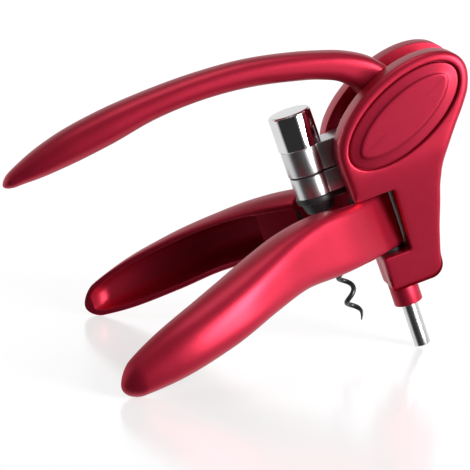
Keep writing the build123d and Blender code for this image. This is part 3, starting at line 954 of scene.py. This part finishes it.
@dataclass
class JawPad:
    """The rubber lining of a jaw: a rounded strip that follows the grip's web and the neck's seat.

    The strip's section is a rounded rectangle, half_height high and thick deep, carried along the
    pad's plan from its root end through the seat's arc to its round front end.
    """

    start: float = 9.6
    end: float = 51.5
    low: float = 57.0
    high: float = 79.6
    seat_r: float = 14.3
    face: float = 0.8
    thick: float = 1.2
    edge: float = 0.5
    corner: float = 5.0

    def build(self, shop: Workshop, side: Side, grip: Grip) -> None:
        """Builds one pad, on the grip's side and turned open with it."""
        begin = -pi + np.arcsin(self.face / self.seat_r)
        seat = arc((-WORM_X, 0.0), self.seat_r, begin, -pi - begin, 60)
        run = [np.array([[self.start, -self.face]]), seat, np.array([[self.end, -self.face]])]
        path = even(np.concatenate(run), 0.5)
        step = np.gradient(path, axis=0)
        normal = np.stack([-step[:, 1], step[:, 0]], axis=1) / np.linalg.norm(step, axis=1)[:, None]
        along = np.concatenate([[0], np.cumsum(np.linalg.norm(np.diff(path, axis=0), axis=1))])
        ends = round_end(along[-1] - along, self.corner) + round_end(along, self.corner / 2)
        short = self.corner * (2 - ends)
        half = ((self.high - self.low) / 2 - short)[:, None]
        angle = np.linspace(0, 2 * pi, 40, endpoint=False)
        across, up = superellipse(angle, np.full(1, 9.0))
        deep = self.thick / 2 * (across + 1)
        height = half * up
        middle = (self.low + self.high) / 2
        rows = np.stack([-(path[:, :1] - normal[:, :1] * deep), path[:, 1:] - normal[:, 1:] * deep,
                         middle + height], axis=-1)
        draft = Draft()
        draft.shell(grip.opened(rows, side))
        shop.piece(f"{side.word}_jaw_lining", draft, RUBBER, f"{side.word}_clamp", f"{side.word}_jaw_pad")


# ---------------------------------------------------------------------------------- frame halves
@dataclass
class FrameHalf:
    """One half of the frame: an oval cheek that runs down into a tapered block and a collar.

    The outline is drawn from the side. Rings run round it from the inner face, which steps from the
    middle plane up to the lever's gap at the gap's floor, over the wall to the rounded outer rim. The
    outer face leans in below the head: its half width is head_half - lean * s, where s rises
    smoothly from 0 above bend_w to the distance below it.
    """

    head: tuple[float, float] = (21.7, 114.9)
    head_a: float = 37.8
    head_b: float = 20.2
    head_turn: float = radians(24.6)
    head_half: float = 24.6
    bend_w: float = 93.5
    bend_soft: float = 5.0
    lean: float = 0.250
    notch: tuple[float, float] = (50.2, 82.8)
    notch_back: float = 7.2
    block_low: float = 32.5
    floor_w: float = 86.0
    floor_r: float = 31.0
    inner_edge: float = 0.4
    step: float = 0.65
    badge_a: float = 32.9
    badge_b: float = 15.5
    badge_edge: float = 0.9
    badge_depth: float = 2.9
    collar_r: float = 7.0
    collar_bore: float = 5.25
    collar_low: float = 22.5
    collar_gap: float = 0.12
    screws: Pairs = ((12.5, 40.5), (18.5, 60.0), (25.5, 77.0))
    screw_r: float = 2.8
    screw_depth: float = 3.0

    def outer(self, w: Array) -> Array:
        """Half width of the outer face at height w."""
        below = self.bend_w - w
        return self.head_half - self.lean * (below + np.sqrt(below ** 2 + self.bend_soft ** 2)) / 2

    def floor(self, x: Array) -> Array:
        """Height of the gap's floor at x: level, with a round hollow under the lever's hub."""
        hollow = np.sqrt(np.clip(self.floor_r ** 2 - (x - PIVOT[0]) ** 2, 0, None))
        return np.minimum(self.floor_w, PIVOT[1] - hollow)

    def stretches(self) -> tuple[Array, Array, Array]:
        """The outline's two stretches, below and above the gap's floor, and its rim radius.

        Returns:
            The low stretch from the front down and round to the back, the high one from the back over
            the head to the front, and the rim's radius at each point of the two joined up.
        """
        low_w, top_w = self.notch
        back_floor = (31.7, float(self.floor(np.array(31.7))))
        front_floor = (-12.95, self.floor_w)
        front = rounded([(*front_floor, 0), (-12.8, top_w, 1.6), (self.notch_back, top_w, 1.2),
                         (self.notch_back, low_w, 1.2), (-7.3, low_w, 1.4), (-6.8, self.block_low, 1.5),
                         (19.6, self.block_low, 7.0), (20.4, 42.5, 0)])
        back = curve([(20.4, 42.5), (21.7, 48.5), (23.2, 55), (27.0, 68.5), (29.4, 77.5), back_floor],
                     self.step)
        low = even(np.concatenate([front, back[1:]]), self.step)
        oval = ellipse(self.head, self.head_a, self.head_b, self.head_turn, 72)
        over = oval[(np.arange(72) >= 71) | (np.arange(72) <= 33)]
        over = np.roll(over, 1, axis=0)
        high = curve([back_floor, (33.9, 87.6), (37.6, 93.2), (43.9, 101.8), (50.2, 109.8),
                      (54.9, 117.2), *map(tuple, over), (-13.72, 101.5), (-13.2, 92.0), front_floor],
                     self.step)
        low_rim = np.interp(low[:, 1], [self.block_low, 45, 84, 86], [1.6, 1.8, 2.6, 3.0])
        in_notch = (low[:, 0] < 12) & (low[:, 1] > low_w - 1) & (low[:, 1] < top_w + 1.5)
        low_rim = np.where(in_notch, 0.9, low_rim)
        rim = np.concatenate([low_rim[:-1], np.full(len(high) - 1, 3.2)])
        for _ in range(6):
            rim = (np.roll(rim, 1) + rim + np.roll(rim, -1)) / 3
        return low, high, rim

    def shell(self, draft: Draft, side: Side) -> None:
        """Adds the half's closed shell, with the badge's recess and, on the right, the screw holes."""
        low, high, rim = self.stretches()
        loop = np.concatenate([low[:-1], high[:-1]])
        turns = np.concatenate([np.arange(len(low)), np.arange(len(low) - 1, len(loop) + 1) % len(loop)])
        is_high = np.arange(len(turns)) >= len(low)
        base = np.where(is_high, GAP_HALF, 0.0)
        sign = side.value

        def placed(flat: Array, out: Array) -> Array:
            """Points of the outline at a distance from the middle plane."""
            return np.stack([flat[:, 0], sign * np.broadcast_to(out, len(flat)), flat[:, 1]], axis=-1)

        rows = []
        for a in np.linspace(pi / 2, 0, 4):
            flat = inset(loop, self.inner_edge * (1 - cos(a)))[turns]
            rows.append(placed(flat, base + self.inner_edge * (1 - sin(a))))
        rows.append(placed(loop[turns], np.full(len(turns), GAP_HALF + self.inner_edge)))
        for a in np.linspace(0, pi / 2, 9):
            flat = inset(loop, rim * (1 - cos(a)))[turns]
            rows.append(placed(flat, self.outer(flat[:, 1]) - rim[turns] * (1 - sin(a))))
        draft.sheet(draft.add(np.stack(rows)))

        start = inset(loop, self.inner_edge)
        first, last = start[len(low) - 1], start[0]
        x = np.linspace(last[0], first[0], 60)[1:-1]
        floor = np.column_stack([x, self.floor(x)])
        path = np.concatenate([[last], floor, [first]])
        draft.sheet(draft.add(np.stack([placed(path, 0.0), placed(path, GAP_HALF)])), around=False)
        low_face = np.concatenate([start[:len(low)], floor[::-1]])
        high_face = np.concatenate([start[len(low) - 1:], path[:-1]])
        draft.fill([low_face], lambda flat: placed(flat, 0.0), 4.0)
        draft.fill([high_face], lambda flat: placed(flat, GAP_HALF), 4.0)

        holes = [self.hole(draft, ellipse(self.head, self.badge_a, self.badge_b, self.head_turn, 180),
                           self.badge_edge, self.head_half - self.badge_depth, placed)]
        if side is Side.RIGHT:
            for at in self.screws:
                seat = float(self.outer(np.array(at[1]))) - self.screw_depth
                mouth = ellipse(at, self.screw_r, self.screw_r, 0.0, 36)
                holes.append(self.hole(draft, mouth, 0.3, seat, placed))
        draft.fill([inset(loop, rim), *holes], lambda flat: placed(flat, self.outer(flat[:, 1])), 2.6)

    def hole(self, draft: Draft, loop: Array, edge: float, seat: float,
             placed: Callable[[Array, Array], Array]) -> Array:
        """Adds a blind hole in the outer face.

        Args:
            draft: The draft to add to.
            loop: The hole's outline.
            edge: Radius of its mouth's rim.
            seat: Distance of its floor from the middle plane.
            placed: Places outline points at a distance from the middle plane.

        Returns:
            The mouth's outer loop, for the face round it.
        """
        rows = []
        for a in np.linspace(pi / 2, 0, 6):
            flat = inset(loop, -edge * (1 - cos(a)))
            rows.append(placed(flat, self.outer(flat[:, 1]) - edge * (1 - sin(a))))
        rows.append(placed(loop, np.full(len(loop), seat)))
        index = draft.add(np.stack(rows))
        draft.sheet(index)
        draft.fan(index[-1], rows[-1].mean(axis=0))
        return inset(loop, -edge)

    def collar(self, draft: Draft, side: Side) -> None:
        """Adds the half collar round the rod's bush."""
        wide = np.arcsin(self.collar_gap / self.collar_r)
        narrow = np.arcsin(self.collar_gap / self.collar_bore)
        outside = arc((0, 0), self.collar_r, wide, pi - wide, 48)
        bore = arc((0, 0), self.collar_bore, pi - narrow, narrow, 40)
        plan = np.concatenate([outside, bore])
        if side is Side.LEFT:
            plan = (plan * np.array([1.0, -1.0]))[::-1]
        plan = even(np.concatenate([plan, plan[:1]]), 0.5)[:-1]
        slab(draft, plan, self.collar_low, self.block_low + 1.0, 0.35)

    def build(self, shop: Workshop, side: Side) -> None:
        """Builds one half."""
        draft = Draft()
        self.shell(draft, side)
        self.collar(draft, side)
        shop.piece(f"{side.word}_frame_lacquered", draft, RED, "frame", f"{side.word}_frame")


@dataclass
class Badge:
    """The oval badge in a cheek's recess: a sloped border round a raised flat oval.

    Rings of the badge's outline are moved inwards step by step, each at its own height over the
    cheek's face.
    """

    a: float = 32.35
    b: float = 14.95
    steps: Pairs = ((0, -2.8), (0, -1.45), (0.1, -1.15), (0.32, -0.95), (0.7, -0.84), (1.3, -0.76),
                    (2.4, -0.62), (3.4, -0.47), (4.2, -0.34), (4.7, -0.24), (5.0, -0.10), (5.2, 0.08),
                    (5.5, 0.24), (5.9, 0.33), (6.5, 0.37), (7.4, 0.38))

    def build(self, shop: Workshop, side: Side, frame_half: FrameHalf) -> None:
        """Builds one badge."""
        loop = ellipse(frame_half.head, self.a, self.b, frame_half.head_turn, 180)
        rows = []
        for distance, out in self.steps:
            flat = inset(loop, distance)
            y = side.value * (frame_half.head_half + out)
            rows.append(np.stack([flat[:, 0], np.full(len(flat), y), flat[:, 1]], axis=-1))
        draft = Draft()
        draft.shell(np.stack(rows))
        shop.piece(f"{side.word}_badge_lacquered", draft, BADGE_RED, "frame", f"{side.word}_badge")


# ---------------------------------------------------------------------------------- spindle
@dataclass
class Stack:
    """The stack in front of the cheeks: chrome cap, carriage ring, spacer, nut carrier and nut.

    The cap and the nut's nose are turned profiles. The others are slabs whose plan is a ring round the
    worm with an arm back to the rod.
    """

    ring_r: float = 9.9
    low_ring_r: float = 9.6
    cap_r: float = 10.35
    arm_half: float = 7.6
    carrier: tuple[float, float] = (89.1, 99.5)
    carriage: tuple[float, float] = (100.5, 113.25)
    cap_top: float = 130.6
    nut: tuple[float, float] = (80.8, 86.2)
    spacer: float = 0.9
    screw_w: float = 93.8

    def plan(self, radius: float, back: float, shoe: float, half: float) -> Array:
        """A ring round the worm with an arm that ends in a wider shoe at the rod.

        Args:
            radius: The ring's radius.
            back: Where the shoe ends, in x.
            shoe: Half the shoe's width.
            half: Half the arm's width.

        Returns:
            The closed plan, counter-clockwise.
        """
        meet = np.arcsin(half / radius)
        ring = arc((WORM_X, 0.0), radius, meet, 2 * pi - meet, 72)
        lower = rounded([(*ring[-1], 0), (-10.0, -half, 0.8), (-10.0, -shoe, 0.8), (back, -shoe, 1.0),
                         (back, 0.0, 0)])
        upper = (lower * np.array([1.0, -1.0]))[::-1]
        loop = np.concatenate([ring[:-1], lower[:-1], upper[:-1], ring[:1]])
        return even(loop, 0.5)[:-1]

    def build_cap(self, shop: Workshop) -> None:
        """Builds the hollow chrome cap, with a small rounded rim at the top and a finer one below."""
        low, high = self.carriage[1], self.cap_top
        profile = rounded_profile([(0, high, 0), (self.cap_r, high, 1.3), (self.cap_r, low + 0.05, 0.35),
                                   (8.3, low + 0.05, 0.3), (8.3, high - 2.5, 1.0), (0, high - 2.5, 0)])
        draft = Draft()
        draft.sheet(draft.add(lathe(profile, WORM_X, 128)))
        shop.piece("chrome_cap", draft, MIRROR, "lift_carriage", "cap")

    def build_carriage(self, shop: Workshop) -> None:
        """Builds the carriage: its ring and arm, and the boss under the cap."""
        draft = Draft()
        bore = ellipse((WORM_X, 0.0), 4.65, 4.65, 0.0, 48)
        slab(draft, self.plan(self.ring_r, 1.0, GAP_HALF - 0.35, self.arm_half), *self.carriage, 0.35, [bore])
        boss = tube_profile(8.15, 4.65, self.carriage[1] - 0.5, self.carriage[1] + 2.0, 0.3)
        draft.loop(lathe(boss, WORM_X, 64))
        shop.piece("satin_carriage", draft, SATIN, "lift_carriage", "carriage")

    def build_carrier(self, shop: Workshop) -> None:
        """Builds the nut carrier, with the rod's bore through its shoe."""
        draft = Draft()
        rod_bore = ROD_R + 0.06
        bores = [ellipse((WORM_X, 0.0), 4.75, 4.75, 0.0, 48),
                 ellipse((0.0, 0.0), rod_bore, rod_bore, 0.0, 40)]
        plan = self.plan(self.low_ring_r, 5.8, GAP_HALF - 0.1, self.arm_half)
        slab(draft, plan, *self.carrier, 0.35, bores)
        shop.piece("satin_nut_carrier", draft, SATIN, "frame", "nut_carrier")

    def build_spacer(self, shop: Workshop) -> None:
        """Builds the thin black spacer between the two rings."""
        draft = Draft()
        bores = [ellipse((WORM_X, 0.0), 4.95, 4.95, 0.0, 48), ellipse((0.0, 0.0), 4.0, 4.0, 0.0, 40)]
        low = self.carrier[1]
        plan = self.plan(self.low_ring_r - 0.3, 5.0, GAP_HALF - 0.5, self.arm_half - 0.3)
        slab(draft, plan, low, low + self.spacer, 0.1, bores)
        shop.piece("black_spacer", draft, NYLON, "frame", "spacer_plate")

    def build_nut(self, shop: Workshop) -> None:
        """Builds the nut: a flange with its own arm, and a nose that narrows downwards."""
        draft = Draft()
        low, mid = self.nut
        bore = ellipse((WORM_X, 0.0), 4.5, 4.5, 0.0, 48)
        plan = self.plan(10.0, -11.2, self.arm_half, self.arm_half - 0.05)
        slab(draft, plan, mid, self.carrier[0] - 0.02, 0.4, [bore])
        nose = rounded([(4.5, low, 0), (7.0, low, 0.5), (8.75, mid + 0.2, 0), (8.75, mid + 0.3, 0)])
        profile = [*map(tuple, nose.tolist()), (4.5, mid + 0.3)]
        draft.loop(lathe(profile, WORM_X, 72))
        shop.piece("black_nut", draft, NYLON, "frame", "nut")

    def build_set_screw(self, shop: Workshop) -> None:
        """Builds the set screw in the nut carrier's left side: a flush disc with a hexagon socket."""
        angle = np.linspace(0, 2 * pi, 36, endpoint=False)
        hexagon = 0.75 / np.cos((angle + pi / 6) % (pi / 3) - pi / 6)
        front = -self.low_ring_r + 0.12
        rings = [(np.full(36, 1.55), 3.6), (np.full(36, 1.55), 0.15), (np.full(36, 1.42), 0.0),
                 (hexagon, 0.0), (hexagon, 1.3)]
        rows = [np.stack([WORM_X + radius * np.cos(angle), np.full(36, front + back),
                          self.screw_w + radius * np.sin(angle)], axis=-1) for radius, back in rings]
        draft = Draft()
        draft.shell(np.stack(rows))
        shop.piece("carrier_set_screw_socket", draft, BRIGHT, "frame", "carrier_set_screw")

    def build(self, shop: Workshop) -> None:
        """Builds the whole stack."""
        self.build_cap(shop)
        self.build_carriage(shop)
        self.build_carrier(shop)
        self.build_spacer(shop)
        self.build_nut(shop)
        self.build_set_screw(shop)


@dataclass
class Worm:
    """The worm: a round wire on a helix, drawn out to a point at its lower end, and its shank.

    The wire's middle is at radius helix_r and turns once in each pitch above start_w. Below it the
    turn slows, so that the point is steeper, and the wire thins to its tip.
    """

    wire_r: float = 1.2
    helix_r: float = 2.7
    pitch: float = 13.0
    start_w: float = 26.4
    tip_w: float = 22.75
    top_w: float = 99.6
    point: float = 7.5
    shank_r: float = 2.6
    shoulder_r: float = 4.2
    shoulder: tuple[float, float] = (98.4, 100.3)
    shank_top: float = 121.0

    def build(self, shop: Workshop) -> None:
        """Builds the wire, the shoulder and the shank."""
        point = np.linspace(self.tip_w, self.start_w, 14)[:-1]
        w = np.concatenate([point, np.linspace(self.start_w, self.top_w, 240)])
        below = np.minimum(w - self.start_w, 0)
        angle = 2 * pi / self.pitch * (np.maximum(w - self.start_w, 0) + 0.6 * below)
        out = self.helix_r + 0.12 * below
        radial = np.stack([np.cos(angle), np.sin(angle), np.zeros_like(w)], axis=1)
        path = np.array([WORM_X, 0.0, 0.0]) + out[:, None] * radial + w[:, None] * np.array([0, 0, 1.0])
        run = np.gradient(path, axis=0)
        run /= np.linalg.norm(run, axis=1)[:, None]
        first = radial - np.sum(radial * run, axis=1)[:, None] * run
        first /= np.linalg.norm(first, axis=1)[:, None]
        second = np.cross(run, first)
        along = np.concatenate([[0], np.cumsum(np.linalg.norm(np.diff(path, axis=0), axis=1))])
        thick = self.wire_r * np.clip(0.16 + 0.84 * (along / self.point) ** 0.8, None, 1.0)
        turn = np.linspace(0, 2 * pi, 20, endpoint=False)
        rows = (path[:, None] + (thick[:, None] * np.cos(turn))[..., None] * first[:, None]
                + (thick[:, None] * np.sin(turn))[..., None] * second[:, None])
        draft = Draft()
        draft.shell(rows)
        draft.shell(lathe(bar_profile(self.shoulder_r, *self.shoulder, 0.3)[1:-1], WORM_X, 48))
        shank = bar_profile(self.shank_r, self.shoulder[1] - 0.4, self.shank_top, 0.3)
        draft.shell(lathe(shank[1:-1], WORM_X, 48))
        shop.piece("coated_worm", draft, WORM_COAT, "worm_spindle", "worm")


@dataclass
class GuideRod:
    """The guide rod: a bar whose back is flattened and cut into a rack.

    At angle t and height w a point is at (r cos t, r sin t), and its x is kept below the rack's
    profile, a wave of straight flanks with the gear's pitch.
    """

    top: float = 118.5
    edge: float = 0.5
    flat: tuple[float, float] = (50.0, 118.0)
    pitch_x: float = 2.5
    tip_x: float = 3.5
    root_x: float = 1.25
    module: float = 1.0

    def build(self, shop: Workshop) -> None:
        """Builds the rod."""
        plain = np.linspace(0.5, self.flat[0] - 0.05, 12)
        cut = np.linspace(self.flat[0], self.flat[1], 430)
        rim = self.edge * (1 - np.cos(np.linspace(0, pi / 2, 6)))
        w = np.concatenate([rim, plain[1:], cut, [self.flat[1] + 0.05], (self.top - rim)[::-1]])
        end = np.minimum(w, self.top - w)
        radius = ROD_R - self.edge * (1 - round_end(end, self.edge))
        offset = (w - PIVOT[1] + pi * self.module / 2) % (pi * self.module) - pi * self.module / 2
        slant = tan(radians(20))
        groove = pi * self.module / 4 + 0.04
        from_pitch = (np.abs(offset) - groove) / slant
        rack = np.clip(self.pitch_x + from_pitch, self.root_x, self.tip_x)
        limit = np.where((w >= self.flat[0]) & (w <= self.flat[1]), rack, ROD_R + 1)
        angle = np.linspace(0, 2 * pi, 72, endpoint=False)
        x = np.minimum(radius[:, None] * np.cos(angle), limit[:, None])
        rows = np.stack([x, radius[:, None] * np.sin(angle), np.broadcast_to(w[:, None], x.shape)], axis=-1)
        draft = Draft()
        draft.shell(rows)
        shop.piece("polished_guide_rod", draft, BRIGHT, "lift_carriage", "guide_rod")


# ---------------------------------------------------------------------------------- studio
@dataclass
class Softbox:
    """One rectangular light.

    Attributes:
        name: The light's name.
        place: Its middle, in metres.
        target: What it faces, in metres.
        size: Its width and height, in metres.
        power: Its power in watts.
    """

    name: str
    place: tuple[float, float, float]
    target: tuple[float, float, float]
    size: tuple[float, float]
    power: float

    def build(self) -> None:
        """Makes the light, hidden from the camera itself."""
        data = bpy.data.lights.new(self.name, "AREA")
        data.shape = "RECTANGLE"
        data.size, data.size_y = self.size
        data.energy = self.power
        made = bpy.data.objects.new(self.name, data)
        made.location = self.place
        away = Vector(self.target) - Vector(self.place)
        made.rotation_mode = "QUATERNION"
        made.rotation_quaternion = away.to_track_quat("-Z", "Y")
        made.visible_camera = False
        bpy.context.scene.collection.objects.link(made)


@dataclass
class Studio:
    """A pale floor and backdrop, soft light, and a camera low in front of the tool's left side."""

    camera_at: tuple[float, float, float] = (-165.2, -1099.8, 364.9)
    look_at: tuple[float, float, float] = (-68.86, 0.0, 83.65)
    roll: float = radians(-0.94)
    lens: float = 184.17
    floor_size: float = 8.0
    floor_glow: float = 0.66
    dark: float = 0.03
    backdrop: float = 0.80
    right: float = 0.45
    overhead: float = 0.16

    def camera(self, frame: ToolFrame) -> None:
        """Makes the camera, looking at a point of the tool's middle plane."""
        place = Vector(frame.to_row(np.array(self.camera_at)))
        target = Vector(frame.to_row(np.array(self.look_at)))
        data = bpy.data.cameras.new("camera")
        data.lens = self.lens
        data.sensor_width = 36.0
        data.clip_start, data.clip_end = 0.05, 50.0
        made = bpy.data.objects.new("camera", data)
        made.location = place
        made.rotation_mode = "QUATERNION"
        ahead = (target - place).normalized()
        level = ahead.to_track_quat("-Z", "Y").to_matrix()
        made.rotation_quaternion = (Matrix.Rotation(self.roll, 3, ahead) @ level).to_quaternion()
        bpy.context.scene.collection.objects.link(made)
        bpy.context.scene.camera = made

    def floor(self) -> None:
        """Makes the white floor: lit from behind like a light table, with a soft gloss.

        Only the camera sees it, so the tool's undersides stay dark and take their light from the world.
        """
        graph = Surface("white_floor")
        tone = graph.noise(14.0, 3.0)
        material = graph.finish(Base_Color=graph.blend(tone, (0.26, 0.26, 0.26), (0.30, 0.30, 0.30)),
                                Roughness=0.16 + 0.04 * tone, Emission_Color=(1.0, 1.0, 1.0, 1.0),
                                Emission_Strength=self.floor_glow)
        half = self.floor_size / 2
        mesh = bpy.data.meshes.new("floor")
        corners = [(-half, -half, 0), (half, -half, 0), (half, half, 0), (-half, half, 0)]
        mesh.from_pydata(corners, [], [(0, 1, 2, 3)])
        mesh.materials.append(material)
        made = bpy.data.objects.new("floor", mesh)
        made.visible_diffuse = False
        made.visible_glossy = False
        bpy.context.scene.collection.objects.link(made)

    def world(self) -> None:
        """Makes the surroundings, by direction.

        A white backdrop stands behind the tool and to its left, a paler one to the right of the
        camera, and the camera's own side is dark. Overhead it is an even dark grey.
        """
        world = bpy.data.worlds.new("studio")
        world.use_nodes = True
        bpy.context.scene.world = world
        graph = Graph(world.node_tree)
        direction = graph.node("ShaderNodeTexCoord").outputs["Generated"]
        parts = graph.node("ShaderNodeSeparateXYZ", None, {0: Value(graph, direction)}).outputs
        side, back, up = (Value(graph, part) for part in parts)
        behind = ((back + 0.20) * 4.0).held()
        beside = ((side - 0.30) * 5.0).held() * (1.0 - behind)
        high = ((up - 0.30) * 3.0).held()
        level = self.dark + self.backdrop * behind + self.right * beside
        strength = level * (1.0 - high) + self.overhead * high
        white = (1.0, 1.0, 1.0, 1.0)
        shine = graph.node("ShaderNodeBackground", None, {"Color": white, "Strength": strength})
        output = graph.node("ShaderNodeOutputWorld")
        graph.tree.links.new(shine.outputs[0], output.inputs["Surface"])

    def lights(self) -> None:
        """Makes the softboxes."""
        middle = (0.0, 0.0, 0.07)
        for box in (
            Softbox("key_right", (0.82, -0.92, 0.42), middle, (0.60, 1.0), 26.0),
            Softbox("overhead", (-0.30, 0.20, 1.30), middle, (0.9, 0.5), 2.5),
        ):
            box.build()

    def build(self, frame: ToolFrame) -> None:
        """Builds the studio."""
        self.camera(frame)
        self.floor()
        self.world()
        self.lights()
        bpy.context.scene.view_settings.view_transform = "Standard"


# ---------------------------------------------------------------------------------- main
CAD_FINISHES: dict[str, Finish] = {
    "frame_screws": DARK_STEEL, "nut_screws": DARK_STEEL, "pivot_pin": BRIGHT, "pivot_clip": BRIGHT,
    "carriage_pin": BRIGHT, "nut_pin": BRIGHT, "spindle_collar": BRIGHT, "gear_rivets": BRIGHT,
    "hinge_sleeve": BRIGHT, "gear_sector": SINTERED, "rod_bush": BRONZE, "lever_bushes": BRONZE,
    "hinge_washers": NYLON, "spindle_bearing": NYLON,
}


def main() -> None:
    """Builds the tool's pieces, dresses the frame's own nodes and sets up the studio."""
    logging.basicConfig(level=logging.INFO, format="%(name)s: %(message)s")
    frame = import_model()
    tool = ToolFrame.from_joints(frame["joints"])
    shop = Workshop(tool)
    Studio().build(tool)

    Lever().build(shop)
    grip, frame_half = Grip(), FrameHalf()
    for side in Side:
        grip.build(shop, side)
        JawPad().build(shop, side, grip)
        frame_half.build(shop, side)
        Badge().build(shop, side, frame_half)
    Stack().build(shop)
    Worm().build(shop)
    GuideRod().build(shop)

    for name, finish in CAD_FINISHES.items():
        node = frame["nodes"][name]
        node.data.materials.clear()
        node.data.materials.append(shop.material(finish))
        LOG.info("%s: %s", name, finish.name)


if __name__ == "__main__":
    main()
